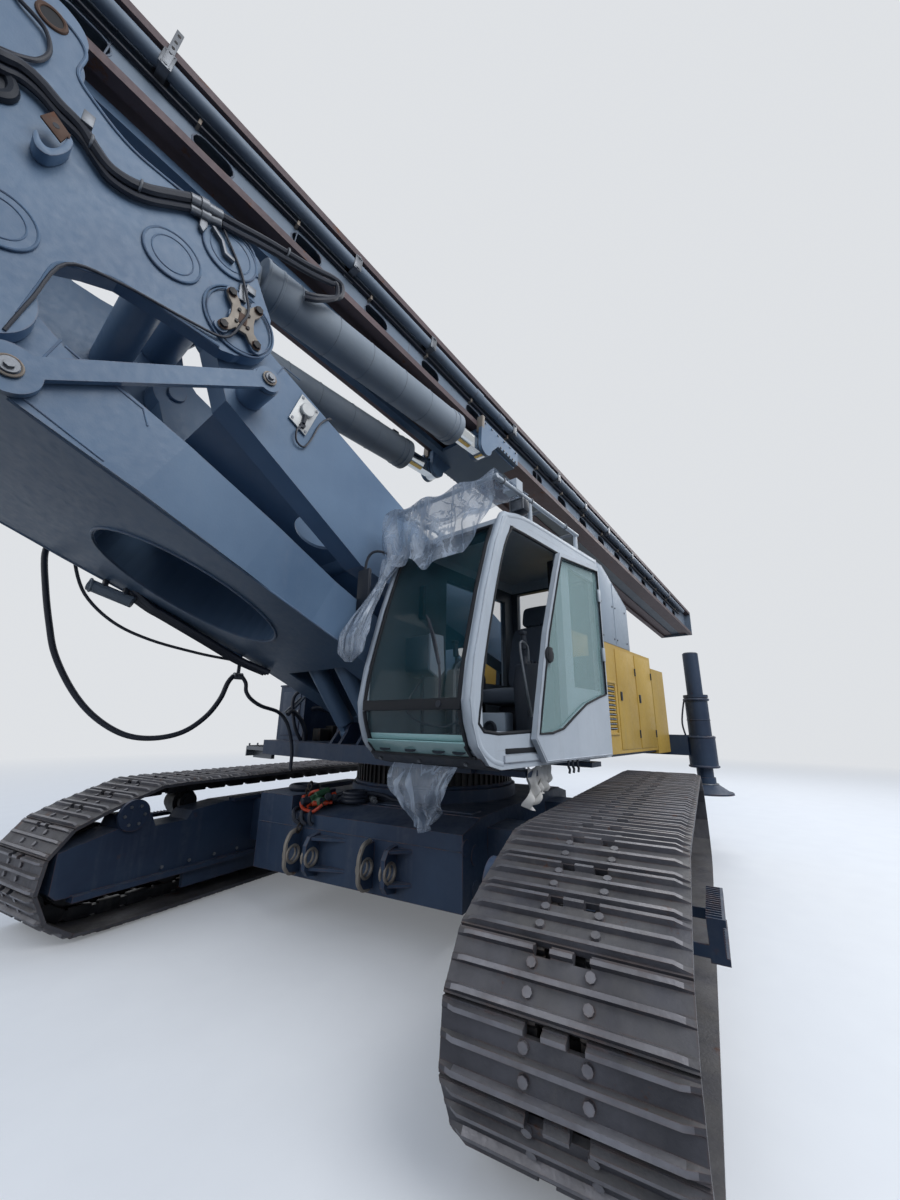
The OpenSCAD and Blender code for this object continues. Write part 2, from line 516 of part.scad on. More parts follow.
// Plan of the boom's outer side: [distance from the foot, share of the widening]
boom_plan = [[-400, 0], [1300, 0], [2100, 0.08], [2700, 0.64], [3400, 1], [4400, 1]];
head_in = 420;
head_eye_r = 230;
head_w = 200;
oval_at = [2700, 690, 440];
module boom() color("lightslategray") house() in_boom() {
    difference() {
        union() {
            intersection() {
                plate(1000, 2000) polygon(boom_ring);
                translate([0, 0, -500]) linear_extrude(1000) polygon(concat(
                    [for (row = boom_plan) [row[0], -boom_half - row[1]*(boom_wide - boom_half)]],
                    [for (i = [len(boom_plan) - 1:-1:0]) [boom_plan[i][0], boom_half + boom_plan[i][1]*(boom_wide - boom_half)]]));
            }
            both_sides() {
                cross_pin([0, 0], boom_in, boom_half, boom_eye_r);
                plate(head_in + head_w, head_w) polygon([[3600, 40], [4300, 190], [4600, 100], [4600, -120], [4330, -400], [3700, -370]]);
                cross_pin([boom_len, 0], head_in, head_in + head_w, head_eye_r);
            }
        }
        difference() {
            plate(boom_in, 2*boom_in) polygon([[-300, -188], [500, -188], [1820, -213], [3880, -368], [3880, 33], [1830, 133], [500, 188], [-300, 188]]);
            translate([oval_at[0], 0, -500]) linear_extrude(1000) polygon(ellipse(oval_at[1] + 20, oval_at[2] + 20));
        }
        translate([oval_at[0], 0, -500]) linear_extrude(590) polygon(ellipse(oval_at[1], oval_at[2]));
        slab(600, 1500, -420, 420, -300, 0);
        both_sides() {
            cross_pin([0, 0], boom_in - 1, boom_half + 1, pin_r + pin_gap);
            cross_pin([boom_len, 0], head_in - 1, head_in + head_w + 1, pin_r + pin_gap);
        }
    }
    both_sides() {
        for (y = [luff_y - luff_side - 50, luff_y + luff_side + 10]) plate(y + 40, 40) polygon([luff_local + [-80, -60],
            luff_local + [80, -60], luff_local + [130, 150], luff_local + [-130, 150]]);
        plate(boom_wide + 10, 40) translate(link_local) circle(r = 100);
        cross_pin(link_local, boom_wide - 30, link_y1 + link_t + 15, link_pin);
    }
    for (p = [[3460, deck_h + 1720], [3300, deck_h + 1600]]) let (q = to_boom(p)) translate([q[0], -boom_wide + 30, q[1]]) rotate([90, 0, 0]) cylinder(r = 36, h = 57);
}
link_pin = 45;
function to_boom(p) = let (d = p - foot_pivot) [d[0]*cos(boom_angle) + d[1]*sin(boom_angle), -d[0]*sin(boom_angle) + d[1]*cos(boom_angle)];
link_local = to_boom(link_low);
luff_local = [1600, 0];
function from_boom(p) = foot_pivot + [p[0]*cos(boom_angle) - p[1]*sin(boom_angle), p[0]*sin(boom_angle) + p[1]*cos(boom_angle)];
luff_head = from_boom(luff_local);
luff_vec = luff_head - luff_foot;
luff_angle = atan2(luff_vec[1], luff_vec[0]);
luff_len = norm(luff_vec);
module in_luff() translate([luff_foot[0], 0, luff_foot[1]]) rotate([0, -luff_angle, 0]) children();
luff_bore = 50;
luff_barrel = luff_len - 230;
module boom_barrels() color("slategray") house() in_luff() both_sides() difference() {
    union() {
        cross_pin([0, 0], luff_y - luff_side, luff_y + luff_side, 85);
        slab(0, 150, luff_y - luff_side, luff_y + luff_side, -70, 70);
        translate([110, luff_y, 0]) rotate([0, 90, 0]) cylinder(r = luff_d/2, h = luff_barrel - 110);
    }
    cross_pin([0, 0], luff_y - luff_side - 1, luff_y + luff_side + 1, luff_pin + pin_gap);
    translate([120, luff_y, 0]) rotate([0, 90, 0]) cylinder(r = luff_bore + pin_gap, h = luff_len);
}
module boom_rods() color("silver") house() in_luff() both_sides() {
    translate([270, luff_y, 0]) rotate([0, 90, 0]) cylinder(r = luff_bore, h = luff_len - 320);
    slab(luff_len - 90, luff_len, luff_y - luff_side, luff_y + luff_side, -45, 45);
    cross_pin([luff_len, 0], luff_y - luff_side, luff_y + luff_side, 70);
}

// Strut above the boom: two arms joined by a belly plate and a cross casting
strut_in = 400;
strut_out = 620;
// Oval hole in the strut's belly plate: [distance from the strut's foot, half length, half width]
belly_hole = [2910, 190, 235];
function on_strut(a, b) = strut_foot + a*along_boom + b*[-along_boom[1], along_boom[0]];
module strut_side() {
    translate(strut_foot) circle(r = 180);
    translate(strut_head) circle(r = 180);
    polygon([strut_foot + [-80, 160], strut_head + [-120, 120], strut_head + [120, -120], strut_head + [-40, -560],
        strut_foot + [2660, 580], strut_foot + [130, -125]]);
}
module strut() color("lightslategray") house() {
    both_sides() difference() {
        plate(strut_out, strut_out - strut_in) strut_side();
        cross_pin(strut_foot, strut_in - 1, strut_out + 1, pin_r + pin_gap);
        cross_pin(strut_head, strut_in - 1, strut_out + 1, pin_r + eye_gap);
    }
    difference() {
        plate(strut_in + eps, 2*strut_in + 2*eps) polygon([on_strut(900, -290), on_strut(900, -315),
            on_strut(boom_len - 290, -315), on_strut(boom_len - 290, -290)]);
        translate([on_strut(belly_hole[0], -300)[0], 0, strut_foot[1]]) linear_extrude(2000) polygon(ellipse(belly_hole[1], belly_hole[2]));
    }
    cross_pin(strut_foot + [2300, 900], -strut_in - eps, strut_in + eps, 120);
    both_sides() plate(link_y1 - 5, link_y1 - 5 - strut_out + eps) translate(link_high) circle(r = 100);
    both_sides() cross_pin(link_high, strut_out - eps, link_y1 + link_t + 15, link_pin);
}
link_y1 = boom_wide + 15;
link_t = 40;
module link_bars() color("lightslategray") house() both_sides() difference() {
    plate(link_y1 + link_t, link_t) {
        translate(link_low) circle(r = 125);
        translate(link_high) circle(r = 90);
        translate(link_low) rotate(atan2(strut_shift[1], strut_shift[0])) translate([0, -55]) square([norm(strut_shift), 110]);
    }
    cross_pin(link_low, link_y1 - 1, link_y1 + link_t + 1, link_pin + pin_gap);
    cross_pin(link_high, link_y1 - 1, link_y1 + link_t + 1, link_pin + eye_gap);
}

// Carrier: two tall side plates with an arch, from the boom head and strut head up to the leader's pivot
carrier_y0 = 640;
carrier_y1 = 740;
tilt_foot = [2950, deck_h + 3860];
// Cross tubes: [length, height, radius]
tubes = [[3457, deck_h + 3209, 130], [4175, deck_h + 2727, 120], [3136, deck_h + 3555, 150]];
tilt_pin = 60;
module carrier_side() union() {
    translate(head_pivot) circle(r = 230);
    translate(strut_head) circle(r = 250);
    translate(mast_pivot) circle(r = 170);
    polygon([head_pivot + [210, -90], head_pivot + [430, 1300], mast_pivot + [420, -250], mast_pivot + [165, 40],
        mast_pivot + [-165, 30], mast_pivot + [-171, -238], mast_pivot + [-288, -348], mast_pivot + [-454, -437],
        mast_pivot + [-642, -454], mast_pivot + [-1122, -445], mast_pivot + [-1265, -474], tilt_foot + [-25, -342],
        strut_head + [-121, 365], strut_head + [-211, 198], strut_head + [-208, -10], strut_head + [-131, -183],
        strut_head + [-11, -274], strut_head + [86, -301], strut_head + [385, -274], head_pivot + [-491, 471],
        head_pivot + [-347, 413], head_pivot + [-232, 351], head_pivot + [-192, 175], head_pivot + [-153, -49]]);
}
module carrier() color("lightslategray") house() {
    both_sides() {
        plate(carrier_y1, carrier_y1 - carrier_y0) carrier_side();
        cross_pin(head_pivot, head_in - 40, carrier_y0 + eps, pin_r);
        cross_pin(strut_head, strut_in - 30, carrier_y0 + eps, pin_r);
        carrier_clamp();
        for (y = [tilt_y - tilt_side - 45, tilt_y + tilt_side + 5]) plate(y + 40, 40) {
            translate(tilt_foot) circle(r = 115);
            polygon([tilt_foot + [-100, -55], tilt_foot + [55, 100], [tubes[2][0] + 110, tubes[2][1] + 70],
                [tubes[2][0] - 60, tubes[2][1] - 100]]);
        }
        cross_pin(tilt_foot, tilt_y - tilt_side - 45, tilt_y + tilt_side + 45, tilt_pin);
        for (t = tubes) plate(carrier_y1 + 12, 13) translate([t[0], t[1]]) circle(r = t[2] + 40);
    }
    for (t = tubes) cross_pin([t[0], t[1]], -carrier_y0 - eps, carrier_y0 + eps, t[2]);
    cross_pin(mast_pivot, -carrier_y0 - eps, carrier_y0 + eps, 80);
}
module carrier_clamp() plate(carrier_y1 + 34, 35) translate(strut_head) {
    circle(r = 90);
    for (a = [63, 117, 230, 310]) rotate(a) translate([0, -32]) square([190, 64]);
    for (a = [63, 117, 230, 310]) rotate(a) translate([190, 0]) circle(r = 45);
}

// Tilt cylinders: barrels on the carrier, rods to the saddle's rear carriage
tilt_y = 430;
mast_origin = [mast_pivot[0], mast_pivot[1] + mast_up];
module in_mast() translate([mast_origin[0], 0, mast_origin[1]]) rotate([0, -mast_fall, 0]) children();
function from_mast(p) = mast_origin + [p[0]*cos(mast_fall) - p[1]*sin(mast_fall), p[0]*sin(mast_fall) + p[1]*cos(mast_fall)];
tilt_local = [-4629, -677];
tilt_side = 60;
tilt_head = from_mast(tilt_local);
tilt_vec = tilt_head - tilt_foot;
tilt_angle = atan2(tilt_vec[1], tilt_vec[0]);
tilt_len = norm(tilt_vec);
tilt_rod_r = 110;
module in_tilt() translate([tilt_foot[0], 0, tilt_foot[1]]) rotate([0, -tilt_angle, 0]) children();
tilt_barrel = tilt_len - 560;
module tilt_barrels() color("silver") house() in_tilt() both_sides() difference() {
    union() {
        cross_pin([0, 0], tilt_y - tilt_side, tilt_y + tilt_side, 115);
        slab(0, 200, tilt_y - tilt_side, tilt_y + tilt_side, -100, 100);
        translate([140, tilt_y, 0]) rotate([0, 90, 0]) cylinder(r = tilt_d/2, h = tilt_barrel - 140);
    }
    cross_pin([0, 0], tilt_y - tilt_side - 1, tilt_y + tilt_side + 1, tilt_pin + pin_gap);
    translate([250, tilt_y, 0]) rotate([0, 90, 0]) cylinder(r = tilt_rod_r + pin_gap, h = tilt_barrel);
}
module tilt_rods() color("gray") house() in_tilt() both_sides() {
    translate([300, tilt_y, 0]) rotate([0, 90, 0]) cylinder(r = tilt_rod_r, h = tilt_len - 570);
    slab(tilt_len - 280, tilt_len, tilt_y - tilt_side, tilt_y + tilt_side, -90, 90);
    cross_pin([tilt_len, 0], tilt_y - tilt_side, tilt_y + tilt_side, 115);
}

// Saddle: front and rear carriages that hold the leader's lower rails, joined by two bars
rail_w = 110;
rail_h = 80;
rail_out = mast_w/2;
rail_z = -mast_d/2;
slide_gap = 6;
module claw(x0, x1) both_sides() {
    slab(x0, x1, rail_out - rail_w - 60, rail_out + 60, rail_z - 90, rail_z - slide_gap);
    slab(x0 + 20, x1 - 20, rail_out - rail_w + 20, rail_out - 20, rail_z - slide_gap - eps, rail_z - pad_gap);
    slab(x0, x1, rail_out + slide_gap, rail_out + 60, rail_z - 90, rail_z + rail_h + 40);
    slab(x0, x1, rail_out - rail_w + 50, rail_out + 60, rail_z + rail_h + slide_gap, rail_z + rail_h + 40);
}
saddle_front = 950;
saddle_rear = -5450;
claw_l = 900;
bar_y = [180, 280];
module saddle() color("lightslategray") house() {
    in_mast() {
        claw(saddle_front - claw_l, saddle_front);
        claw(saddle_rear, saddle_rear + claw_l);
        both_sides() slab(saddle_rear, saddle_front, bar_y[0], bar_y[1], rail_z - 120, rail_z - 40);
        for (x = [saddle_front - claw_l, saddle_rear]) slab(x, x + claw_l, -rail_out, rail_out, rail_z - 120, rail_z - 60);
        both_sides() for (y = [tilt_y - tilt_side - 55, tilt_y + tilt_side + 5]) plate(y + 50, 50) {
            translate(tilt_local) circle(r = 120);
            polygon([tilt_local + [-120, 0], tilt_local + [120, 0], [tilt_local[0] + 130, rail_z - 60], [tilt_local[0] - 320, rail_z - 60]]);
        }
    }
    both_sides() difference() {
        plate(560, 120) {
            translate(mast_pivot) circle(r = 190);
            polygon([mast_pivot + [-190, 0], mast_pivot + [190, 0], from_mast([saddle_front - 60, rail_z - 60]),
                from_mast([saddle_front - claw_l + 40, rail_z - 60])]);
        }
        cross_pin(mast_pivot, 400, 600, 80 + pin_gap);
    }
}

// Leader: box with recessed webs, oval slots in both webs, and guide rails along its four corners
web_half = 300;
web_t = 16;
slot_first = 555;
slot_step = 900;
slot_l = 340;
slot_h = 170;
module slot_shape() {
    square([slot_l - slot_h, slot_h], center = true);
    for (s = [-1, 1]) translate([s*(slot_l - slot_h)/2, 0]) circle(r = slot_h/2);
}
slot_n = floor((mast_len - 1600)/slot_step);
module mast() color("darkgray") house() in_mast() difference() {
    slab(-mast_tail, mast_front, -web_half, web_half, rail_z + rail_h, -rail_z - rail_h);
    slab(-mast_tail - 1, mast_front + 1, -web_half + web_t, web_half - web_t, rail_z + rail_h + web_t, -rail_z - rail_h - web_t);
    for (i = [0:slot_n]) plate(web_half + 1, 2*web_half + 2) translate([mast_front - slot_first - i*slot_step, -35]) slot_shape();
}
module mast_rails() color("saddlebrown") house() in_mast() both_sides() {
    for (z = [rail_z, -rail_z - rail_h]) {
        slab(-mast_tail, mast_front, rail_out - rail_w, rail_out, z, z + rail_h);
        slab(-mast_tail, mast_front, 120, rail_out - rail_w, z == rail_z ? z + rail_h - 22 : z, z == rail_z ? z + rail_h : z + 22);
    }
}
pipe_y = web_half + pipe_d/2 + 40;
pipe_z = 200;
clamp_step = 1500;
module mast_pipe() color("gray") house() in_mast() {
    translate([-mast_tail + 700, pipe_y, pipe_z]) rotate([0, 90, 0]) cylinder(r = pipe_d/2, h = mast_len - 1500);
    for (i = [0:floor((mast_len - 1900)/clamp_step)])
        slab(mast_front - 1100 - i*clamp_step, mast_front - 1020 - i*clamp_step, web_half, pipe_y + 30, pipe_z - 80, pipe_z + 80);
}
module mast_foot() color("slategray") house() in_mast() slab(mast_front, mast_front + foot_reach, -rail_out, rail_out, rail_z, -rail_z);
sheave_r = 110;
head_x = -mast_tail - 260;
module mast_head() color("slategray") house() in_mast() {
    slab(-mast_tail - 40, -mast_tail, -rail_out, rail_out, rail_z, -rail_z);
    for (y = [-head_half, -20, head_half - 40]) plate(y + 40, 40) polygon([[-mast_tail - eps, -200], [-mast_tail - eps, 200],
        [-mast_tail - head_reach, head_high], [-mast_tail - head_reach, 180]]);
    cross_pin([head_x, 300], -head_half, head_half, 50);
}
module head_sheaves() color("dimgray") house() in_mast() for (y = [-120, 120]) difference() {
    cross_pin([head_x, 300], y - 60, y + 60, sheave_r);
    cross_pin([head_x, 300], y - 61, y + 61, 50 + pin_gap);
}

// Hoses that hang under the boom: points in the house frame
function ring_at(c, dir, r, n) = let (side = cross(dir, [0, 0, 1]), u = norm(side) < 0.2 ? [0, 1, 0] : side/norm(side),
        w = cross(u, dir)) [for (i = [0:n - 1]) c + r*(cos(360*i/n)*u + sin(360*i/n)*w)];
function smooth(p, steps) = [for (i = [0:len(p) - 2]) let (a = p[max(i - 1, 0)], b = p[i], c = p[i + 1], d = p[min(i + 2, len(p) - 1)])
    each [for (k = [0:steps - 1]) let (t = k/steps) 0.5*(2*b + (c - a)*t + (2*a - 5*b + 4*c - d)*t*t + (3*b - a - 3*c + d)*t*t*t)], p[len(p) - 1]];
module hose(route, r, n = 8, steps = 4) {
    p = [for (q = smooth(route, steps)) q + [0, 0, deck_h - route_deck]];
    rings = [for (i = [0:len(p) - 1]) let (d = p[min(i + 1, len(p) - 1)] - p[max(i - 1, 0)]) each ring_at(p[i], d/norm(d), r, n)];
    last = (len(p) - 1)*n;
    polyhedron(rings, concat([[for (k = [n - 1:-1:0]) k]], [for (i = [0:len(p) - 2]) for (k = [0:n - 1])
        [i*n + k, i*n + (k + 1) % n, (i + 1)*n + (k + 1) % n, (i + 1)*n + k]], [[for (k = [0:n - 1]) last + k]]));
}
loop_route = [[3460, -873, 3020], [3470, -950, 3010], [3490, -985, 2880], [3440, -965, 2620], [3370, -950, 2350], [3290, -940, 2110],
    [3140, -920, 1850], [2970, -900, 1660], [2760, -880, 1530], [2550, -860, 1500], [2340, -840, 1550], [2180, -820, 1680],
    [2080, -810, 1840], [2035, -802, 1990], [1990, -800, 2060]];
drop_route = [[1910, -800, 2060], [1865, -798, 2000], [1850, -797, 1920], [1790, -795, 1850], [1680, -790, 1790], [1500, -790, 1740],
    [1390, -795, 1640], [1320, -800, 1480], [1292, -800, 1330], [1292, -800, 1180]];
thin_route = [[3300, -872, 2900], [3310, -930, 2850], [3200, -940, 2610], [2980, -930, 2420], [2700, -900, 2310], [2330, -850, 2240],
    [2080, -803, 2210], [1965, -800, 2205]];
route_deck = 1300;
hose_r = 22;
drop_r = 18;
thin_r = 13;
tie = [1950, -800, deck_h + 760];
tie_l = 80;
module loop_hose() color("black") house() hose(loop_route, hose_r, 8, 2);
module hose_coupling() color("dimgray") house() {
    translate([tie[0] - tie_l/2, tie[1], tie[2]]) rotate([0, 90, 0]) cylinder(r = 32, h = tie_l);
    slab(tie[0] - 15, tie[0] + 15, tie[1] - 6, tie[1] + 6, tie[2] + 25, tie[2] + 225);
    slab(tie[0] - 15, tie[0] + 15, tie[1] - 6, -boom_half - 7.3, tie[2] + 205, tie[2] + 225);
}
module drop_hose() color("black") house() hose(drop_route, drop_r, 8, 2);
module thin_hose() color("black") house() hose(thin_route, thin_r, 8, 2);
module hose_coil() color("black") placed() translate([box_x - 320, -box_w/2 + cheek_w/2 + 20, 1000]) rotate_extrude()
    translate([120, 30]) circle(r = 29.9);

carbody();
slew_ring();
crawler_frame_left();
crawler_frame_right();
track_left();
track_right();
track_wheels_left();
track_wheels_right();
upper_frame();
engine_house();
engine_block();
counterweight();
right_deck_box();
right_walkway();
jack_arms();
jack_leg_left();
jack_leg_right();
cab_floor();
cab_frame();
cab_roof();
cab_glass();
cab_seat();
cab_controls();
cab_door();
cab_door_glass();
boom();
boom_barrels();
boom_rods();
strut();
link_bars();
carrier();
tilt_barrels();
tilt_rods();
saddle();
mast();
mast_rails();
mast_pipe();
mast_foot();
mast_head();
head_sheaves();
loop_hose();
hose_coupling();
drop_hose();
thin_hose();
hose_coil();
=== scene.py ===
import math

import bpy
from mathutils import Matrix, Vector


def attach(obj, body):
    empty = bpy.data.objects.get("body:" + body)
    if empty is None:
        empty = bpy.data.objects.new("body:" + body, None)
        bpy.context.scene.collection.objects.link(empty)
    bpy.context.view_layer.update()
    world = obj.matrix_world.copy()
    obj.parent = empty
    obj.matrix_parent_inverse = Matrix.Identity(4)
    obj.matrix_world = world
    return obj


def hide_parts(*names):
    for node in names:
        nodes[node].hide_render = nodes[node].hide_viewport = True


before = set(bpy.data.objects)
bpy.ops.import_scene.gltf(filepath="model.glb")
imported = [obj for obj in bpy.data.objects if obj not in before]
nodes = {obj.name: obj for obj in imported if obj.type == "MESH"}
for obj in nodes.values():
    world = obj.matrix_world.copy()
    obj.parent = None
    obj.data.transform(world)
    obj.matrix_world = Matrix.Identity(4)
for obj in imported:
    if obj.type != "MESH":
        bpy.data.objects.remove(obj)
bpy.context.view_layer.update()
print("frame loaded:", len(nodes), "nodes")

# frames of reference, as the source of the part has them, in metres and degrees
rig = {"middle": (2.62875, -0.135215, 0), "slew": 11, "boomFoot": (0.2, 0, 1.62), "boomAngle": 26.7,
       "leaderPivot": (4.245, 0, 6.3), "leaderAngle": 5.4, "tiltFoot": (2.95, 0, 5.16),
       "tiltAngle": 179.464}
tracksFrame = Matrix.Translation(rig["middle"])
houseFrame = tracksFrame @ Matrix.Rotation(math.radians(-rig["slew"]), 4, "Z")
outward = (0, 1, 0)


def tipped(place, angle):  # a frame with its length along a tilted arm
    return houseFrame @ Matrix.Translation(place) @ Matrix.Rotation(math.radians(-angle), 4, "Y")


boomFrame = tipped(rig["boomFoot"], rig["boomAngle"])
mastFrame = tipped(rig["leaderPivot"], rig["leaderAngle"])
tiltFrame = tipped(rig["tiltFoot"], rig["tiltAngle"])


def select(piece):
    bpy.ops.object.select_all(action="DESELECT")
    piece.select_set(True)
    bpy.context.view_layer.objects.active = piece
    return piece


def settle(piece, place=Matrix()):  # the place goes into the mesh, the object stays at the origin
    piece.data.transform(place @ piece.matrix_basis)
    piece.matrix_basis = Matrix()
    return piece


def soften(piece, width, steps=2):  # bevels the sharp edges
    select(piece)
    edge = piece.modifiers.new("edge", "BEVEL")
    edge.width, edge.segments, edge.limit_method = width, steps, "ANGLE"
    edge.angle_limit = math.radians(35)
    bpy.ops.object.modifier_apply(modifier=edge.name)
    return piece


def block(low, high, place=houseFrame, edge=0.004):  # a box between two corners
    low, high = Vector(low), Vector(high)
    bpy.ops.object.select_all(action="DESELECT")
    bpy.ops.mesh.primitive_cube_add(size=1, location=(low + high) / 2, scale=high - low)
    piece = settle(bpy.context.object)
    if edge:
        soften(piece, edge)
    return settle(piece, place)


def rod(start, end, radius, place=houseFrame, sides=20, edge=0.002, tip=None):  # round or tapered
    start, end = Vector(start), Vector(end)
    turn = (end - start).to_track_quat("Z", "Y").to_euler()
    bpy.ops.object.select_all(action="DESELECT")
    bpy.ops.mesh.primitive_cone_add(vertices=sides, radius1=radius, radius2=radius if tip is None else tip,
                                    depth=(end - start).length, location=(start + end) / 2, rotation=turn)
    piece = settle(bpy.context.object)
    if edge:
        soften(piece, edge, 1)
    return settle(piece, place)


def cutPlate(outline, side, thick, place=houseFrame, edge=0.003):  # outline in length and height
    bpy.ops.object.select_all(action="DESELECT")
    bpy.ops.mesh.primitive_circle_add(vertices=len(outline), radius=1, fill_type="NGON")
    piece = bpy.context.object
    for corner, (along, up) in zip(piece.data.vertices, outline):
        corner.co = (along, side, up)
    bpy.ops.object.mode_set(mode="EDIT")
    bpy.ops.mesh.select_all(action="SELECT")
    bpy.ops.mesh.extrude_region_move(TRANSFORM_OT_translate={"value": (0, -thick, 0)})
    bpy.ops.mesh.select_all(action="SELECT")
    bpy.ops.mesh.normals_make_consistent(inside=False)
    bpy.ops.object.mode_set(mode="OBJECT")
    if edge:
        soften(piece, edge)
    return settle(piece, place)


def smoothLine(points, steps):  # a curve through all the points
    points = [Vector(p) for p in points]
    last = len(points) - 1
    line = []
    for i in range(last):
        a, b, c, d = points[max(i - 1, 0)], points[i], points[i + 1], points[min(i + 2, last)]
        for k in range(steps):
            t = k / steps
            line.append(0.5 * (2 * b + (c - a) * t + (2 * a - 5 * b + 4 * c - d) * t * t
                               + (3 * b - a - 3 * c + d) * t ** 3))
    return line + [points[last]]


def drawnTube(name, points, radius, rings=2, closed=False):
    curve = bpy.data.curves.new(name, "CURVE")
    curve.dimensions, curve.bevel_depth, curve.bevel_resolution = "3D", radius, rings
    curve.use_fill_caps, curve.resolution_u = True, 1
    spline = curve.splines.new("POLY")
    spline.points.add(len(points) - 1)
    spline.use_cyclic_u = closed
    for knot, point in zip(spline.points, points):
        knot.co = (*point, 1)
    piece = bpy.data.objects.new(name, curve)
    bpy.context.collection.objects.link(piece)
    return piece


def pipe(points, radius, place=houseFrame, steps=5, rings=2, closed=False):  # a bent tube as a mesh
    line = smoothLine(points, steps) if steps > 1 else [Vector(p) for p in points]
    piece = select(drawnTube("pipe", [place @ p for p in line], radius, rings, closed))
    bpy.ops.object.convert(target="MESH")
    return bpy.context.object


def copyOf(piece, place=Matrix(), flip=False):
    twin = piece.copy()
    twin.data = piece.data.copy()
    bpy.context.collection.objects.link(twin)
    settle(twin, place)
    if flip:
        twin.data.flip_normals()
    return twin


def otherSide(piece, place=houseFrame):  # its twin across the frame's middle plane
    return copyOf(piece, place @ Matrix.Diagonal((1, -1, 1, 1)) @ place.inverted(), True)


def coat(piece, *finishes):  # gives a piece its materials
    piece.data.materials.clear()
    for finish in finishes:
        piece.data.materials.append(materials[finish])
    return piece


def joined(name, parts, body, smooth=30):  # one named piece that rides a body
    bpy.ops.object.select_all(action="DESELECT")
    for part in parts:
        part.select_set(True)
    bpy.context.view_layer.objects.active = parts[0]
    if len(parts) > 1:
        bpy.ops.object.join()
    piece = bpy.context.object
    piece.name = name
    bpy.ops.object.shade_smooth_by_angle(angle=math.radians(smooth))
    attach(piece, body)
    return piece


# materials
def hexColour(text):
    channels = [int(text[i:i + 2], 16) / 255 for i in (1, 3, 5)]
    return (*[c / 12.92 if c <= 0.04045 else ((c + 0.055) / 1.055) ** 2.4 for c in channels], 1)


def addNode(tree, kind, settings=None, links=None):
    node = tree.nodes.new("ShaderNode" + kind)
    for key, value in (settings or {}).items():
        if isinstance(key, int) or key in node.inputs:
            node.inputs[key].default_value = value
        else:
            setattr(node, key, value)
    for key, source in (links or {}).items():
        tree.links.new(source, node.inputs[key])
    return node


def newMaterial(name):
    material = bpy.data.materials.new(name)
    material.use_nodes = True
    tree = material.node_tree
    return material, tree, tree.nodes["Principled BSDF"], addNode(tree, "TexCoord").outputs["Object"]


def paint(name, base, shade, dust="#8d8880", dusty=0.25, rust=0.1, wear=0.3, rough=0.5, patch=1.3,
          metal=0.0, grain=0.15, lined=None):
    material, tree, shader, place = newMaterial(name)

    def noise(scale, detail=4.0, source=place, rough=0.55):
        return addNode(tree, "TexNoise", {"Scale": scale, "Detail": detail, "Roughness": rough},
                       {"Vector": source}).outputs["Fac"]

    def between(value, low, high, most=1.0):
        return addNode(tree, "MapRange", {"From Min": low, "From Max": high, "To Max": most},
                       {"Value": value}).outputs["Result"]

    def times(a, b):
        return addNode(tree, "Math", {"operation": "MULTIPLY"}, {0: a, 1: b}).outputs[0]

    def mix(share, under, over):
        node = addNode(tree, "MixRGB", {"Color2": hexColour(over)}, {"Fac": share})
        if isinstance(under, str):
            node.inputs["Color1"].default_value = hexColour(under)
        else:
            tree.links.new(under, node.inputs["Color1"])
        return node.outputs["Color"]

    clouds = noise(patch)
    streaks = noise(1.0, 3.0,
                    addNode(tree, "Mapping", {"Scale": (9, 9, 0.9)}, {"Vector": place}).outputs["Vector"])
    fine = noise(22, 5.0)
    up = addNode(tree, "SeparateXYZ", None,
                 {"Vector": addNode(tree, "NewGeometry").outputs["Normal"]}).outputs["Z"]
    colour = mix(between(clouds, 0.35, 0.7), base, shade)
    colour = mix(times(between(streaks, 0.52, 0.75), between(fine, 0.3, 0.7, dusty * 0.8)), colour, dust)
    colour = mix(times(between(up, 0.2, 0.9), between(noise(5), 0.3, 0.65, dusty)), colour, dust)
    if wear:  # paint rubbed through at the edges
        corner = addNode(tree, "Bevel", {"samples": 4, "Radius": 0.012}).outputs["Normal"]
        flat = addNode(tree, "NewGeometry").outputs["Normal"]
        same = addNode(tree, "VectorMath", {"operation": "DOT_PRODUCT"}, {0: corner, 1: flat}).outputs[
            "Value"]
        rim = times(between(same, 0.985, 0.9), between(noise(9), 0.42, 0.6, wear))
        colour = mix(rim, colour, "#6a4a38")
    spots = between(noise(6.5, 8.0, rough=0.68), 0.66 - 0.1 * rust, 0.72 - 0.06 * rust, min(1.0, rust * 2))
    colour = mix(spots, colour, "#5c3b2a")
    if lined:  # moulded lining inside a hollow, between two corners in the house frame
        inHouse = addNode(tree, "Mapping", {"Rotation": (0, 0, math.radians(rig["slew"]))},
                          {"Vector": place}).outputs["Vector"]
        shift = Matrix.Rotation(math.radians(rig["slew"]), 3, "Z") @ tracksFrame.translation
        sides = addNode(tree, "SeparateXYZ", None, {"Vector": inHouse}).outputs
        for side, low, high, move in zip(sides, lined[0], lined[1], shift):
            centre, reach = (low + high) / 2 + move, (high - low) / 2
            test = addNode(tree, "Math", {"operation": "COMPARE", 1: centre, 2: reach}, {0: side})
            inside = test.outputs[0] if side == sides[0] else times(inside, test.outputs[0])
        colour = mix(inside, colour, "#4a5259")
    tree.links.new(colour, shader.inputs["Base Color"])
    sheen = addNode(tree, "Math", {"operation": "ADD", 1: rough - 0.12}, {0: between(fine, 0.2, 0.8, 0.25)})
    tree.links.new(sheen.outputs[0], shader.inputs["Roughness"])
    shader.inputs["Metallic"].default_value = metal
    shader.inputs["Specular IOR Level"].default_value = 0.3
    bump = addNode(tree, "Bump", {"Strength": grain, "Distance": 0.004}, {"Height": noise(60, 3.0)})
    tree.links.new(bump.outputs["Normal"], shader.inputs["Normal"])
    return material


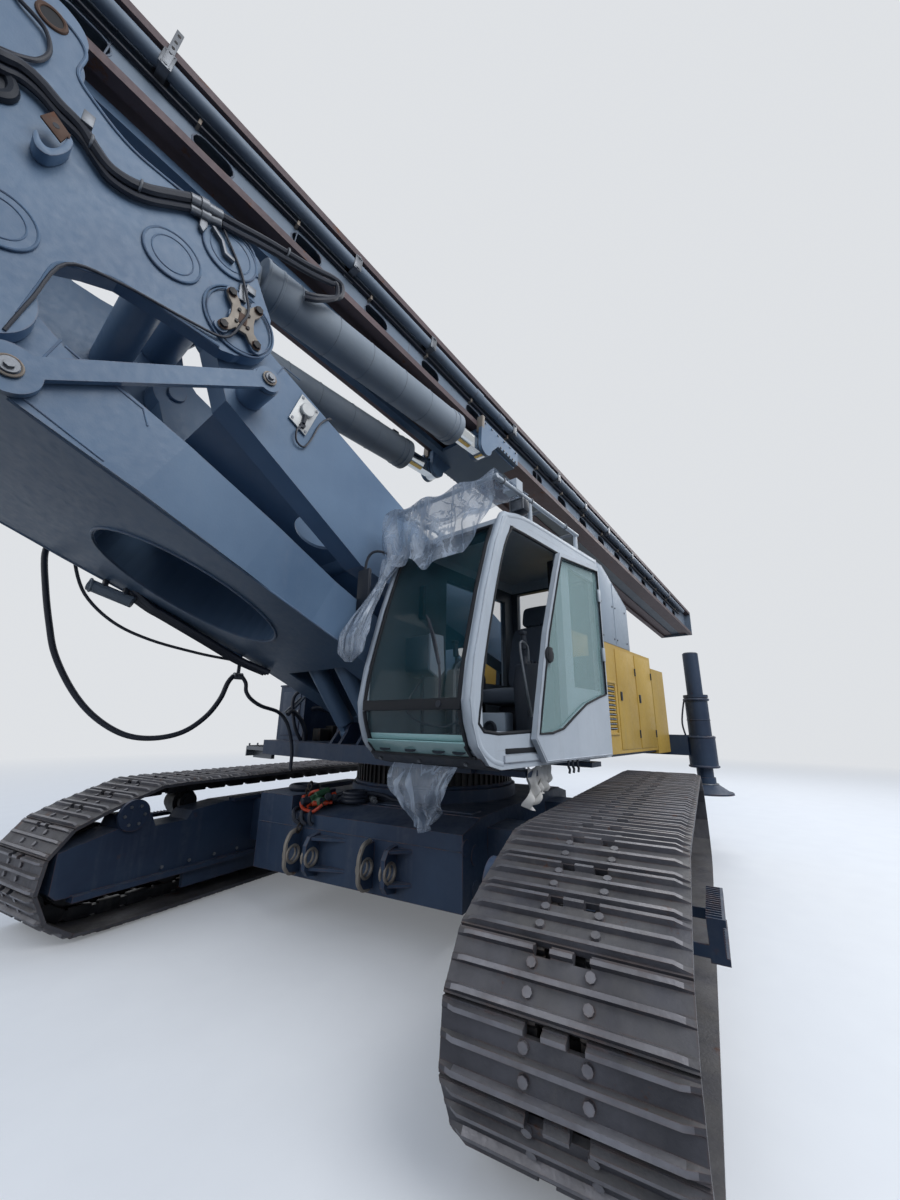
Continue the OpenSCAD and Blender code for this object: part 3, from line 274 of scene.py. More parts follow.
def plain(name, base, other, rough, metal=0.0, scale=40, bump=0.1, alpha=1.0, specular=0.5):
    material, tree, shader, place = newMaterial(name)
    grain = addNode(tree, "TexNoise", {"Scale": scale, "Detail": 4.0}, {"Vector": place}).outputs["Fac"]
    colour = addNode(tree, "MixRGB", {"Color1": hexColour(base), "Color2": hexColour(other)},
                     {"Fac": grain})
    tree.links.new(colour.outputs["Color"], shader.inputs["Base Color"])
    relief = addNode(tree, "Bump", {"Strength": bump, "Distance": 0.002}, {"Height": grain})
    tree.links.new(relief.outputs["Normal"], shader.inputs["Normal"])
    shader.inputs["Roughness"].default_value = rough
    shader.inputs["Metallic"].default_value = metal
    shader.inputs["Alpha"].default_value = alpha
    shader.inputs["Specular IOR Level"].default_value = specular
    return material


def packingFilm():
    material, tree, shader, place = newMaterial("packingFilm")
    falling = addNode(tree, "Mapping", {"Rotation": (0.35, 0.2, 0), "Scale": (7, 7, 1.8)},
                      {"Vector": place}).outputs["Vector"]
    folds = addNode(tree, "TexNoise", {"Scale": 0.8, "Detail": 4.0, "Roughness": 0.55, "Distortion": 1.0},
                    {"Vector": falling}).outputs["Fac"]
    middle = addNode(tree, "Math", {"operation": "SUBTRACT", 1: 0.5}, {0: folds}).outputs[0]
    crease = addNode(tree, "Math", {"operation": "ABSOLUTE"}, {0: middle}).outputs[0]
    veil = addNode(tree, "MapRange", {"From Min": 0.0, "From Max": 0.05, "To Min": 0.8, "To Max": 0.3},
                   {"Value": crease}).outputs["Result"]
    tree.links.new(veil, shader.inputs["Alpha"])
    relief = addNode(tree, "Bump", {"Strength": 0.45, "Distance": 0.03}, {"Height": folds}).outputs[
        "Normal"]
    tree.links.new(relief, shader.inputs["Normal"])
    shader.inputs["Base Color"].default_value = hexColour("#b7c2d0")
    shader.inputs["Roughness"].default_value = 0.2
    return material


materials = {
    # dark blue-grey enamel of frames and jacks, dusty on top and worn through at the rims
    "framePaint": paint("frameEnamel", "#33445b", "#243147", "#7f828a", dusty=0.28, rust=0.15, wear=0.6),
    # slate-blue enamel of the arm, clouded, with faint pale streaks
    "armPaint": paint("armEnamel", "#677f99", "#58708b", "#8a929d", 0.16, rust=0.05, wear=0.4, rough=0.42),
    # ochre enamel of the house, dulled by dust
    "housePaint": paint("ochreEnamel", "#cfab52", "#b89544", dusty=0.3, wear=0.4, rough=0.45),
    # off-white cab enamel, grimy where dust settles
    "cabPaint": paint("offWhiteEnamel", "#c4ccd4", "#b4bdc6", "#8b8c8c", rust=0.05, rough=0.38),
    # the same enamel outside, dark moulded lining inside the cab
    "linedPaint": paint("linedEnamel", "#c4ccd4", "#b4bdc6", "#8b8c8c", rust=0.05, rough=0.38,
                        lined=((-0.13, 0.97, 1.4), (1.86, 1.885, 3.02))),
    # flat grey-blue enamel of the leader, with rust spots, painted lighter than the arm's same paint:
    # painted light for the sky that lights its web and pipe
    "leaderPaint": paint("leaderEnamelWithPaintedLight", "#7d8b9b", "#6b7989", "#8d8a86", dusty=0.2, rust=0.3, wear=0.5),
    # bare rolled rails under a brown bloom
    "railSteel": paint("rustedRail", "#5d5053", "#4b4145", "#7b7880", rust=0.6, rough=0.55, metal=0.3),
    # rolled shoe plate, dusty and scoured by gravel
    "trackSteel": paint("shoePlate", "#58585e", "#404045", "#77746f", dusty=0.4, rust=0.4, rough=0.55,
                        metal=0.3, patch=4, grain=0.5),
    # rib tops that the ground has scraped paler
    "ribSteel": paint("scrapedRib", "#7f7f85", "#605f64", "#8f8c88", rust=0.25, wear=0.2, rough=0.45,
                      metal=0.5, patch=6, grain=0.4),
    # near-black greasy castings of chain, wheels and ring
    "wheelSteel": paint("greasedCasting", "#292a2e", "#1c1d20", dusty=0.3, rust=0.35, wear=0.2, metal=0.3),
    # chalked grey enamel of the cylinders
    "tubePaint": paint("chalkyGrey", "#8b95a0", "#7b8691", "#a3a5a6", dusty=0.3, rough=0.55),
    # mirror-bright rods
    "rodChrome": plain("hardChrome", "#c9cccd", "#b6babb", 0.14, 1.0, bump=0.02),
    # sooty black castings
    "darkCast": paint("engineCasting", "#1d1e20", "#151618", dusty=0.2, rust=0.3, wear=0.2, rough=0.6),
    # windscreen pane, dark sea green
    "cabGlass": plain("tintedGlass", "#1d4a54", "#215058", 0.04, bump=0.0, alpha=0.22, specular=0.4),
    # door pane, tinted pale teal as a painted reflection of the sky
    "doorPane": plain("paneWithPaintedSkyReflection", "#b4d6d6", "#a8cccb", 0.04, bump=0.0, alpha=0.36),
    # grey woven cloth, no gloss
    "seatFabric": plain("wovenSeat", "#4a525e", "#5a626e", 0.9, scale=300, bump=0.4),
    # fine-grained matt black plastic
    "darkPlastic": plain("mouldedPlastic", "#242932", "#2c323c", 0.5, scale=200, bump=0.15, specular=0.25),
    # slate-black rubber with a soft shine along the hose
    "hoseRubber": plain("hoseRubber", "#262a33", "#343945", 0.42, scale=120, bump=0.15, specular=0.25),
    # dulled zinc of couplings, plates and bolts
    "fittingSteel": plain("zincFitting", "#75797f", "#5b5f66", 0.42, 0.6, scale=60),
    # bright unpainted plate that catches the eye on the strut
    "barePlate": plain("brushedPlate", "#c3c5c4", "#adafb0", 0.4, 0.2, scale=30),
    # black outline round the panes
    "blackSeal": plain("rubberSeal", "#12151b", "#1a1e25", 0.6, scale=90, specular=0.25),
    # orange-red caps and lamps
    "orangePlastic": plain("orangeCap", "#c8401c", "#a93415", 0.45),
    # brown rust of bare brackets, bolts and exhaust
    "rustySteel": paint("rustySteel", "#5f4a40", "#4a3931", rust=0.7, wear=0.0, rough=0.7, metal=0.2),
    # grey housing of the monitor
    "screenGrey": plain("screenGrey", "#5e6a74", "#4a555e", 0.3),
    # bare beige castings of clamps and rims
    "wornClamp": paint("bareCasting", "#948d84", "#7f7870", dusty=0.3, rust=0.4, wear=0.5, rough=0.55,
                       metal=0.3),
    # charcoal enamel of chin plate and cowl front
    "chinPaint": paint("darkEnamel", "#353a43", "#2b3038", rough=0.6),
    # pale grey sheet of cowl, louvre and vent
    "paleSheet": paint("paleSheetMetal", "#a3afbb", "#94a1ae", dusty=0.2, rough=0.45),
    # glossy pale moulding seen through the lower pane
    "paleShelf": plain("paleMoulding", "#b4dbd9", "#a4cfcd", 0.16),
    # dark green caps
    "greenPlastic": plain("greenCap", "#2f5a3c", "#274c33", 0.45),
    # clear film, milky along its creases
    "clearFilm": packingFilm(),
    # off-white woven cotton
    "whiteRag": plain("cottonRag", "#d8d6d2", "#bdbab4", 0.95, scale=500, bump=0.5),
}

nodeFinish = {"framePaint": ["carbody", "crawler_frame_left", "crawler_frame_right", "jack_arms",
                             "jack_leg_left", "jack_leg_right", "right_deck_box", "upper_frame"],
              "armPaint": ["boom", "strut", "link_bars", "carrier", "saddle", "boom_barrels"],
              "housePaint": ["engine_house", "counterweight"],
              "cabPaint": ["cab_floor", "cab_roof", "cab_door"], "linedPaint": ["cab_frame"],
              "leaderPaint": ["mast", "mast_foot", "mast_head", "mast_pipe"], "railSteel": ["mast_rails"],
              "trackSteel": ["track_left", "track_right"],
              "wheelSteel": ["track_wheels_left", "track_wheels_right", "slew_ring", "head_sheaves"],
              "tubePaint": ["tilt_barrels"], "rodChrome": ["tilt_rods", "boom_rods"],
              "darkCast": ["engine_block"], "cabGlass": ["cab_glass"], "doorPane": ["cab_door_glass"],
              "seatFabric": ["cab_seat"], "darkPlastic": ["cab_controls"],
              "hoseRubber": ["loop_hose", "drop_hose", "thin_hose", "hose_coil"],
              "fittingSteel": ["hose_coupling", "right_walkway"],}
for finish, names in nodeFinish.items():
    for name in names:
        coat(nodes[name], finish)
print("materials on the frame")

# camera at the photograph's place
view = {"place": (7.20875, 2.574785, 1.636), "heading": 29, "pitch": 15.5, "roll": -0.7, "lens": 13.5,
        "film": 36}
camera = bpy.data.objects.new("camera", bpy.data.cameras.new("camera"))
bpy.context.collection.objects.link(camera)
heading, pitch, roll = (math.radians(view[angle]) for angle in ("heading", "pitch", "roll"))
ahead = Vector(
    (-math.cos(heading) * math.cos(pitch), -math.sin(heading) * math.cos(pitch), math.sin(pitch)))
level = Vector((-math.sin(heading), math.cos(heading), 0))
down = ahead.cross(level)
right = level * math.cos(roll) + down * math.sin(roll)
down = down * math.cos(roll) - level * math.sin(roll)
turn = Matrix((right, -down, -ahead)).transposed()
camera.matrix_world = Matrix.Translation(view["place"]) @ turn.to_4x4()
camera.data.lens, camera.data.sensor_width = view["lens"], view["film"]
camera.data.clip_start, camera.data.clip_end = 0.05, 300
bpy.context.scene.camera = camera

# hoses that hang free on the right side of the boom, the points in the house frame
hoses = {"loopHose": {"node": "loop_hose", "radius": 0.022, "with": ["hose_coupling"],
                      "points": [(3.46, -0.873, 3.02), (3.47, -0.95, 3.01), (3.49, -0.985, 2.88),
                                 (3.44, -0.965, 2.62), (3.37, -0.95, 2.35), (3.29, -0.94, 2.11),
                                 (3.14, -0.92, 1.85), (2.97, -0.9, 1.66), (2.76, -0.88, 1.53),
                                 (2.55, -0.86, 1.5), (2.34, -0.84, 1.55), (2.18, -0.82, 1.68),
                                 (2.08, -0.81, 1.84), (2.035, -0.802, 1.99), (1.99, -0.8, 2.06)]},
         "dropHose": {"node": "drop_hose", "radius": 0.018, "with": [],
                      "points": [(1.91, -0.8, 2.06), (1.865, -0.798, 2.0), (1.85, -0.797, 1.92),
                                 (1.79, -0.795, 1.85), (1.68, -0.79, 1.79), (1.5, -0.79, 1.74),
                                 (1.39, -0.795, 1.64), (1.32, -0.8, 1.48), (1.292, -0.8, 1.33),
                                 (1.292, -0.8, 1.18)]},
         "thinHose": {"node": "thin_hose", "radius": 0.013, "with": [],
                      "points": [(3.3, -0.872, 2.9), (3.31, -0.93, 2.85), (3.2, -0.94, 2.61),
                                 (2.98, -0.93, 2.42), (2.7, -0.9, 2.31), (2.33, -0.85, 2.24),
                                 (2.08, -0.803, 2.21), (1.965, -0.8, 2.205)]},}
for name, hose in hoses.items():
    line = [houseFrame @ p for p in smoothLine(hose["points"], 6)]
    length = sum((b - a).length for a, b in zip(line, line[1:]))
    hosePiece = drawnTube(name, line, hose["radius"], 3)
    hosePiece.data.materials.append(materials["hoseRubber"])
    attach(hosePiece, "boom")
    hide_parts(hose["node"])
    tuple(line[0])
    print("hose", name, round(length, 3), "m")

# crawler tracks: one shoe with its links, copied round the loop
# circles: the corners of the loop as (length, height, radius to the ribs' tops)
track = {"gauge": 4.26, "width": 0.88, "plate": 0.026, "rib": 0.024, "link": 0.105, "linkSide": 0.105,
         "pitch": 0.228, "notchSide": 0.075, "boltSide": 0.11,
         "circles": [(1.79, 0.3, 0.3), (2.35, 0.47, 0.464), (1.9, 0.805, 0.3), (-1.9, 0.805, 0.3),
                     (-2.35, 0.48, 0.47), (-1.79, 0.3, 0.3)]}


def trackPlaces():  # a place for each shoe along the arcs and straights of the loop
    rise = track["plate"] + track["rib"]
    rings = track["circles"]
    runs = []

    def leaving(a, b):
        gap = math.hypot(b[0] - a[0], b[1] - a[1])
        return math.atan2(b[1] - a[1], b[0] - a[0]) - math.pi / 2 + math.asin((a[2] - b[2]) / gap)

    for i, ring in enumerate(rings):
        before, after = rings[i - 1], rings[(i + 1) % len(rings)]
        begin, end = leaving(before, ring), leaving(ring, after)
        sweep = (end - begin) % (2 * math.pi)
        reach = ring[2] - rise
        runs.append((reach * sweep, lambda s, c=ring, r=reach, a=begin: (c[0] + r * math.cos(a + s / r),
                                                                         c[1] + r * math.sin(a + s / r))))
        first = (ring[0] + reach * math.cos(end), ring[1] + reach * math.sin(end))
        last = (after[0] + (after[2] - rise) * math.cos(end), after[1] + (after[2] - rise) * math.sin(end))
        span = math.hypot(last[0] - first[0], last[1] - first[1])
        runs.append((span, lambda s, p=first, q=last, w=span: (p[0] + (q[0] - p[0]) * s / w,
                                                               p[1] + (q[1] - p[1]) * s / w)))
    whole = sum(run[0] for run in runs)
    count = round(whole / track["pitch"])

    def at(s):
        for span, where in runs:
            if s <= span:
                return Vector(where(s))
            s -= span
        return Vector(runs[0][1](0))

    points = [at(k * whole / count) for k in range(count)]
    places = []
    for a, b in zip(points, points[1:] + points[:1]):
        run = (b - a).normalized()
        places.append(Matrix(((run.x, 0, run.y, a.x), (0, 1, 0, 0), (run.y, 0, -run.x, a.y), (0, 0, 0, 1))))
    return places, whole / count


def oneShoe(pitch):
    half, plate, top = track["width"] / 2, track["plate"], track["plate"] + track["rib"]
    profile = [(0.0, 0.0), (0.0, plate), (0.03, plate), (0.05, top), (0.13, top), (0.17, plate),
               (0.45, plate), (0.47, top), (0.55, top), (0.58, plate), (0.84, plate), (0.87, top),
               (0.94, top), (0.97, plate), (1.0, plate), (1.0, 0.0)]
    plateShape = cutPlate([(s * pitch, h) for s, h in profile], half, 2 * half, Matrix(), 0)
    select(plateShape)
    bpy.ops.object.mode_set(mode="EDIT")
    for cut in (-half + 0.03, -half + 0.06, half - 0.06, half - 0.03):
        bpy.ops.mesh.select_all(action="SELECT")
        bpy.ops.mesh.bisect(plane_co=(0, cut, 0), plane_no=(0, 1, 0))
    bpy.ops.object.mode_set(mode="OBJECT")
    for corner in plateShape.data.vertices:
        rim = half - abs(corner.co.y)
        if corner.co.z > plate + 0.001 and rim < 0.05:  # rib ends slope down to the plate
            corner.co.z = plate + (0.5 if rim > 0.02 else 0.12) * track["rib"]
    notches = [block((0.82 * pitch, y - 0.032, -0.02), (1.2 * pitch, y + 0.032, 0.08), Matrix(), 0)
               for y in (-track["notchSide"], track["notchSide"])]
    for notch in notches:
        select(plateShape)
        cutter = plateShape.modifiers.new("notch", "BOOLEAN")
        cutter.operation, cutter.solver, cutter.object = "DIFFERENCE", "EXACT", notch
        bpy.ops.object.modifier_apply(modifier=cutter.name)
        bpy.data.objects.remove(notch)
    coat(plateShape, "trackSteel", "ribSteel")
    for face in plateShape.data.polygons:
        face.material_index = 1 if face.center.z > plate + 0.01 and face.normal.z > 0.3 else 0
    heads = [coat(
                 rod((s * pitch, y, plate - 0.004), (s * pitch, y, plate + 0.014), 0.019, Matrix(), 8, 0),
                 "ribSteel") for s in (0.31, 0.71) for y in (-track["boltSide"], track["boltSide"])]
    links = []
    for side in (-1, 1):
        y = side * track["linkSide"]
        links.append(coat(block((-0.05 * pitch, y - 0.03, -track["link"]),
                                (0.72 * pitch, y + 0.03, -0.001), Matrix(), 0.012), "wheelSteel"))
        links.append(coat(block((0.6 * pitch, y - 0.028, -0.085), (1.0 * pitch, y + 0.028, -0.02),
                                Matrix(), 0), "wheelSteel"))
    links.append(coat(rod((0.1 * pitch, -0.125, -0.055), (0.1 * pitch, 0.125, -0.055), 0.024, Matrix(),
                          10, 0), "wheelSteel"))
    bpy.ops.object.select_all(action="DESELECT")
    for part in [plateShape] + heads + links:
        part.select_set(True)
    bpy.context.view_layer.objects.active = plateShape
    bpy.ops.object.join()
    return plateShape


places, realPitch = trackPlaces()
shoe = oneShoe(realPitch)
for name, sign, node in (("trackLeft", 1, "track_left"), ("trackRight", -1, "track_right")):
    middle = tracksFrame @ Matrix.Translation((0, sign * track["gauge"] / 2, 0))
    ring = joined(name, [copyOf(shoe, middle @ place) for place in places], "chassis", 25)
    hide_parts(node)
bpy.data.objects.remove(shoe)
print("tracks:", len(places), "shoes each")


# small shapes that the details share
def circle(middle, radius, axis="Y", count=28):  # points on a ring round an axis
    first, second = {"X": ((0, 1, 0), (0, 0, 1)), "Y": ((0, 0, 1), (1, 0, 0)),
                     "Z": ((1, 0, 0), (0, 1, 0))}[axis]
    first, second = Vector(first) * radius, Vector(second) * radius
    turns = [2 * math.pi * k / count for k in range(count)]
    return [Vector(middle) + first * math.cos(a) + second * math.sin(a) for a in turns]


def hoop(middle, radius, thick, place=houseFrame, axis="Y", count=28):
    return pipe(circle(middle, radius, axis, count), thick, place, 1, 2, True)


def bolts(spots, toward, size, high, place=houseFrame):  # hexagon heads standing on a surface
    return [rod(spot, Vector(spot) + Vector(toward) * high, size, place, 6, 0) for spot in spots]


def dressed(name, body, slot, smooth=30, **finishes):  # finish = its parts, all joined into one piece
    parts = [coat(part, finish) for finish, some in finishes.items() for part in some]
    return joined(name, parts, body, smooth)


def mirrored(parts, place=houseFrame):
    return parts + [otherSide(part, place) for part in parts]


def atSide(side, line):  # (length, height) pairs, all at one distance from the middle
    return [(along, side, up) for along, up in line]


def spread(start, end, count):
    start, end = Vector(start), Vector(end)
    return [start.lerp(end, k / (count - 1)) for k in range(count)]


# pins, washers and bolts of the arm's joints, the same on both sides
pins = {  # body: places as (length, side, height, cap radius)
    "house": [(0.2, 0.8, 1.62, 0.11), (-0.97, 0.7, 2.36, 0.11), (1.05, 0.25, 1.56, 0.06)],
    "boom": [(3.98, 0.915, 3.18, 0.04)],
    "strut": [(2.81, 0.915, 3.92, 0.036)],
}
for body, rows in pins.items():
    rims, caps, heads = [], [], []
    for along, side, up, size in rows:
        thick, face = 0.2 * size, (along, side + 0.012, up)
        rims += mirrored([hoop((along, side - 0.004, up), size + thick, thick)])
        caps += mirrored([rod((along, side - 0.01, up), face, size)])
        spots = circle(face, size * 0.6, count=4) if size > 0.08 else [face]
        heads += mirrored(bolts(spots, outward, 0.022, 0.016))
    dressed("pins_" + body, body, "fitting_steel", 30, wornClamp=rims, fittingSteel=caps + heads)

# carrier: worn star clamps, rings round its cross tubes, rusty pivot eyes, cable and hoses on the left plate
star = {"middle": (2.999, 4.356), "side": 0.774, "reach": 0.18, "arms": (58, 122, 230, 310),
        "thick": 0.012, "between": (90, 176, 270, 4), "waists": (0.105, 0.08, 0.1, 0.08),
        "tip": ((0.1, -0.034), (0.15, -0.038), (0.2, -0.03), (0.218, 0), (0.2, 0.03), (0.15, 0.038),
                (0.1, 0.034))}
starOutline, starBolts, starHeads = [], [], []
(hubU, hubZ), side, face = star["middle"], star["side"], star["side"] + star["thick"]
for angle, waistAngle, waist in zip(star["arms"], star["between"], star["waists"]):
    c, s = math.cos(math.radians(angle)), math.sin(math.radians(angle))
    at = lambda along, across: (hubU + along * c - across * s, hubZ + along * s + across * c)
    starOutline += [at(*spot) for spot in star["tip"]]
    dip = math.radians(waistAngle)
    starOutline.append((hubU + waist * math.cos(dip), hubZ + waist * math.sin(dip)))
    outer, inner = at(star["reach"], 0), at(0.062, 0)
    starHeads += bolts(atSide(face, [outer]), outward, 0.028, 0.022)
    starHeads += bolts(atSide(face, [inner]), outward, 0.013, 0.012)
    starBolts.append(rod(*atSide(side + 0.008, [outer]), *atSide(side + 0.014, [outer]), 0.034))
starPlates = [cutPlate(starOutline, face, 2 * star["thick"], edge=0.004)]
starBolts.append(
    block((hubU - 0.03, side, hubZ - 0.045), (hubU + 0.03, side + 0.018, hubZ + 0.045), edge=0.008))
# rings on the plate as (length, height, outer and inner radius)
bosses = ((3.457, 4.509, 0.165, 0.12), (4.175, 4.027, 0.155, 0.11), (3.136, 4.855, 0.185, 0.14),
          (2.999, 4.356, 0.245, 0.225))
seams = [hoop((u, 0.75, z), r, 0.008, count=48) for u, z, r, inner in bosses]
seams += [hoop((u, 0.752, z), inner, 0.005, count=40) for u, z, r, inner in bosses]
rims = [pipe(atSide(0.741, line), 0.011)
        for line in (((4.41, 5.53), (4.2, 5.55), (4.08, 5.46), (4.08, 5.26), (3.96, 5.15), (3.79, 5.063),
                      (3.6, 5.046), (3.123, 5.055), (2.99, 5.02), (2.935, 4.83)),
                     ((3.1, 4.07), (3.38, 4.09), (3.67, 4.095), (3.81, 4.04), (3.927, 3.975),
                      (3.967, 3.79), (4.005, 3.57)))]
eyeRing = hoop((4.243, 0.742, 5.49), 0.062, 0.013, count=32)
# black disc: painted shade inside the eye's hole
eyeHoleShade = rod((4.243, 0.735, 5.49), (4.243, 0.746, 5.49), 0.056)
dressed("starClamps", "carrier", "fitting_steel", 30, wornClamp=mirrored(starPlates),
        rustySteel=mirrored(starBolts), wheelSteel=mirrored(starHeads))
dressed("carrierRims", "carrier", "arm_paint", 40, armPaint=mirrored(seams + rims),
        rustySteel=mirrored([eyeRing]), blackSeal=mirrored([eyeHoleShade]))
bundle = [(4.5, 0.775, 4.86), (4.42, 0.79, 4.88), (4.345, 0.8, 4.902), (4.276, 0.8, 4.939),
          (4.196, 0.8, 4.934), (4.104, 0.8, 4.89), (4.034, 0.8, 4.871), (3.984, 0.8, 4.845),
          (3.928, 0.8, 4.791), (3.847, 0.8, 4.736), (3.748, 0.8, 4.745), (3.652, 0.8, 4.798),
          (3.553, 0.8, 4.883), (3.448, 0.8, 4.975)]
lower = [(u - 0.015, 0.772, z - 0.045) for u, side, z in bundle]
fromFittings = [(3.25, 0.8, 5.04), (3.128, 0.79, 5.091), (2.908, 0.78, 5.182), (2.57, 0.76, 5.302),
                (2.33, 0.74, 5.42), (2.215, 0.73, 5.44), (2.2, 0.72, 5.34), (2.265, 0.71, 5.265),
                (2.4, 0.69, 5.17), (2.5, 0.65, 5.14)]
hosesOnPlate = [pipe(bundle, 0.03), pipe(lower, 0.024), pipe(fromFittings, 0.024),
                pipe([(u - 0.01, v - 0.01, z - 0.055) for u, v, z in fromFittings[:5]]
                     + [(2.27, 0.74, 5.39), (2.24, 0.72, 5.3), (2.3, 0.71, 5.22), (2.42, 0.69, 5.12),
                        (2.5, 0.65, 5.1)], 0.022),
                pipe([(4.44, 0.742, 5.46), (4.362, 0.76, 5.396), (4.304, 0.765, 5.373),
                      (4.248, 0.765, 5.344), (4.213, 0.76, 5.274), (4.207, 0.76, 5.198),
                      (4.232, 0.76, 5.111), (4.274, 0.76, 5.056), (4.325, 0.76, 5.011),
                      (4.42, 0.742, 4.97)], 0.012),
                pipe([(3.27, 0.79, 5.03), (3.197, 0.77, 4.955), (3.063, 0.765, 4.764),
                      (2.997, 0.79, 4.549), (2.98, 0.81, 4.42), (3.002, 0.8, 4.322), (3.08, 0.77, 4.146),
                      (3.3, 0.755, 4.11), (3.668, 0.755, 4.075), (3.898, 0.755, 3.99),
                      (3.975, 0.755, 3.69), (4.03, 0.742, 3.45)], 0.009)]
couplings = []
for line, sizes in ((((3.448, 0.8, 4.975), (3.39, 0.8, 4.998), (3.34, 0.8, 5.014), (3.25, 0.8, 5.04)),
                     (0.036, 0.044, 0.034)),
                    (((3.433, 0.772, 4.93), (3.37, 0.772, 4.955), (3.31, 0.772, 4.972),
                      (3.24, 0.79, 4.985)), (0.03, 0.037, 0.028))):
    couplings += [rod(a, b, size, sides=12) for a, b, size in zip(line, line[1:], sizes)]
couplings += [
    hoop(p, 0.034, 0.008, axis="X") for p in ((3.95, 0.8, 4.81), (3.7, 0.8, 4.77), (2.75, 0.77, 5.24))]
couplings.append(block((3.96, 0.742, 4.865), (4.015, 0.84, 4.95)))
brackets = [cutPlate([(3.27, 4.93), (3.2, 4.87), (3.17, 4.8), (3.115, 4.79), (3.115, 4.765),
                      (3.185, 4.775), (3.22, 4.86), (3.29, 4.915)], 0.79, 0.04),
            cutPlate([(3.36, 4.99), (3.33, 4.99), (3.31, 4.9), (3.33, 4.83), (3.36, 4.86)], 0.775, 0.03),
            block((2.985, 0.742, 4.53), (3.045, 0.762, 4.66)),
            block((2.93, 0.742, 4.64), (3.0, 0.762, 4.7))]
bent = lambda line: [(p.x, p.z) for p in smoothLine([(u, 0, z) for u, z in line + line[:1]], 3)[:-1]]
bracketTop = [cutPlate([(4.154, 4.697), (4.115, 4.787), (4.033, 4.72), (4.055, 4.63)], 0.83, 0.012),
              block((4.03, 0.742, 4.69), (4.04, 0.83, 4.725))]
# dark disc: painted shade inside the bracket's hole
bracketHoleShade = rod((4.09, 0.822, 4.708), (4.09, 0.8315, 4.708), 0.015, sides=16, edge=0)
bracketHook = cutPlate(bent([(4.033, 4.716), (4.012, 4.686), (4.022, 4.603), (4.074, 4.505), (4.13, 4.5),
                             (4.156, 4.562), (4.147, 4.599), (4.118, 4.55), (4.085, 4.55),
                             (4.052, 4.61)]), 0.826, 0.08)
tubeEnd = [hoop((4.37, 0.75, 4.79), 0.1, 0.03), rod((4.37, 0.735, 4.79), (4.37, 0.752, 4.79), 0.09)]
dressed("carrierHoses", "carrier", "hose_rubber", 40, hoseRubber=hosesOnPlate,
        fittingSteel=couplings + brackets, rustySteel=bracketTop, armPaint=[bracketHook],
        darkPlastic=tubeEnd + [bracketHoleShade])
print("carrier dressed")

# strut and boom: doubler seams, sensor plate, belly pipes and hoses
strutSeams = [pipe(atSide(0.621, line), 0.005, steps=1) for line in (
    ((2.756, 3.954), (2.585, 4.346), (2.439, 4.323)), ((-0.7, 2.62), (-0.55, 2.55), (-0.5, 2.42)))]
sensor = {"corners": [(2.413, 4.195), (2.245, 4.126), (2.346, 3.844), (2.502, 3.928)], "side": 0.64,
          "eye": (2.364, 4.06), "plug": (2.387, 3.91),
          "screws": [(2.402, 4.165), (2.27, 4.112), (2.353, 3.875), (2.475, 3.94)]}
side = sensor["side"]
sensorPlate = cutPlate(sensor["corners"], side, 0.014)
u, z = sensor["eye"]
sensorParts = [rod((u, side, z), (u, side + 0.032, z), 0.058, sides=28, edge=0.006)]
plugU, plugZ = sensor["plug"]
sensorPlug = [rod((plugU, 0.638, plugZ), (plugU, 0.66, plugZ), 0.024),
              rod((u + 0.006, 0.646, z - 0.04), (plugU, 0.66, plugZ + 0.01), 0.022, tip=0.014)]
sensorCable = pipe([(plugU, 0.655, plugZ), (2.437, 0.66, 3.835), (2.421, 0.648, 3.754),
                    (2.353, 0.64, 3.737), (2.295, 0.638, 3.836), (2.229, 0.636, 4.015),
                    (2.152, 0.634, 4.12), (2.115, 0.62, 4.14)], 0.008)
corners = bolts(atSide(side, sensor["screws"]), outward, 0.012, 0.006)
dressed("strutDetails", "strut", "arm_paint", 40, armPaint=mirrored(strutSeams),
        barePlate=[sensorPlate] + sensorParts, darkPlastic=sensorPlug, fittingSteel=corners,
        hoseRubber=[sensorCable])

boomSeams = [pipe(atSide(0.845, line), 0.006, steps=1)
             for line in (((3.887, 3.311), (3.839, 3.475)), ((3.819, 3.453), (3.726, 3.411)),
                          ((3.597, 3.368), (3.45, 3.31), (3.413, 3.22)),
                          ((3.935, 3.101), (3.561, 2.924)))]
ovalRim = pipe([(2.7 + 0.705 * math.cos(a), 0.455 * math.sin(a), -0.302 - 0.075 * 0.705 * math.cos(a))
                for a in (2 * math.pi * k / 48 for k in range(48))], 0.011, boomFrame, 1, 2, True)
ovalSeam = pipe([(2.72, -0.42, 0.087), (2.72, 0.42, 0.087)], 0.007, boomFrame, 1)
bellyEdges = [pipe([(1.85, side * 0.74, -0.238), (4.0, side * 0.83, -0.397)], 0.009, boomFrame, 1)
              for side in (-1, 1)]
bellyHoses = [pipe([(2.99 - 0.02 * k, v - 0.78, 2.66), (2.8, v - 0.78, 2.55), (2.682, v - 0.78, 2.5),
                    (2.321, v - 0.775, 2.34), (2.009, v - 0.77, 2.2), (1.75, v - 0.69, 2.1)], 0.028)
              for k, v in ((0, 0), (1, 0.05), (2, 0.1))]
stub = [rod((3.21, -0.83, 2.67), (2.93, -0.7, 2.56), 0.047),
        hoop((3.2, -0.826, 2.666), 0.048, 0.01, axis="X")]
stubHolders = [block((3.1, -0.83, 2.6), (3.13, -0.75, 2.78)),
               block((2.97, -0.76, 2.56), (3.0, -0.69, 2.72))]
clips = [block((x - 0.02, -0.81, low), (x + 0.02, -0.62, low + 0.075), boomFrame)
         for x, low in ((x, -0.3 - 0.075 * (x - 2.7)) for x in (2.0, 2.45, 2.9))]
dressed("boomDetails", "boom", "arm_paint", 40,
        armPaint=mirrored(boomSeams) + [ovalRim, ovalSeam] + bellyEdges, hoseRubber=bellyHoses,
        tubePaint=stub, darkPlastic=stubHolders + clips)
print("arm dressed")

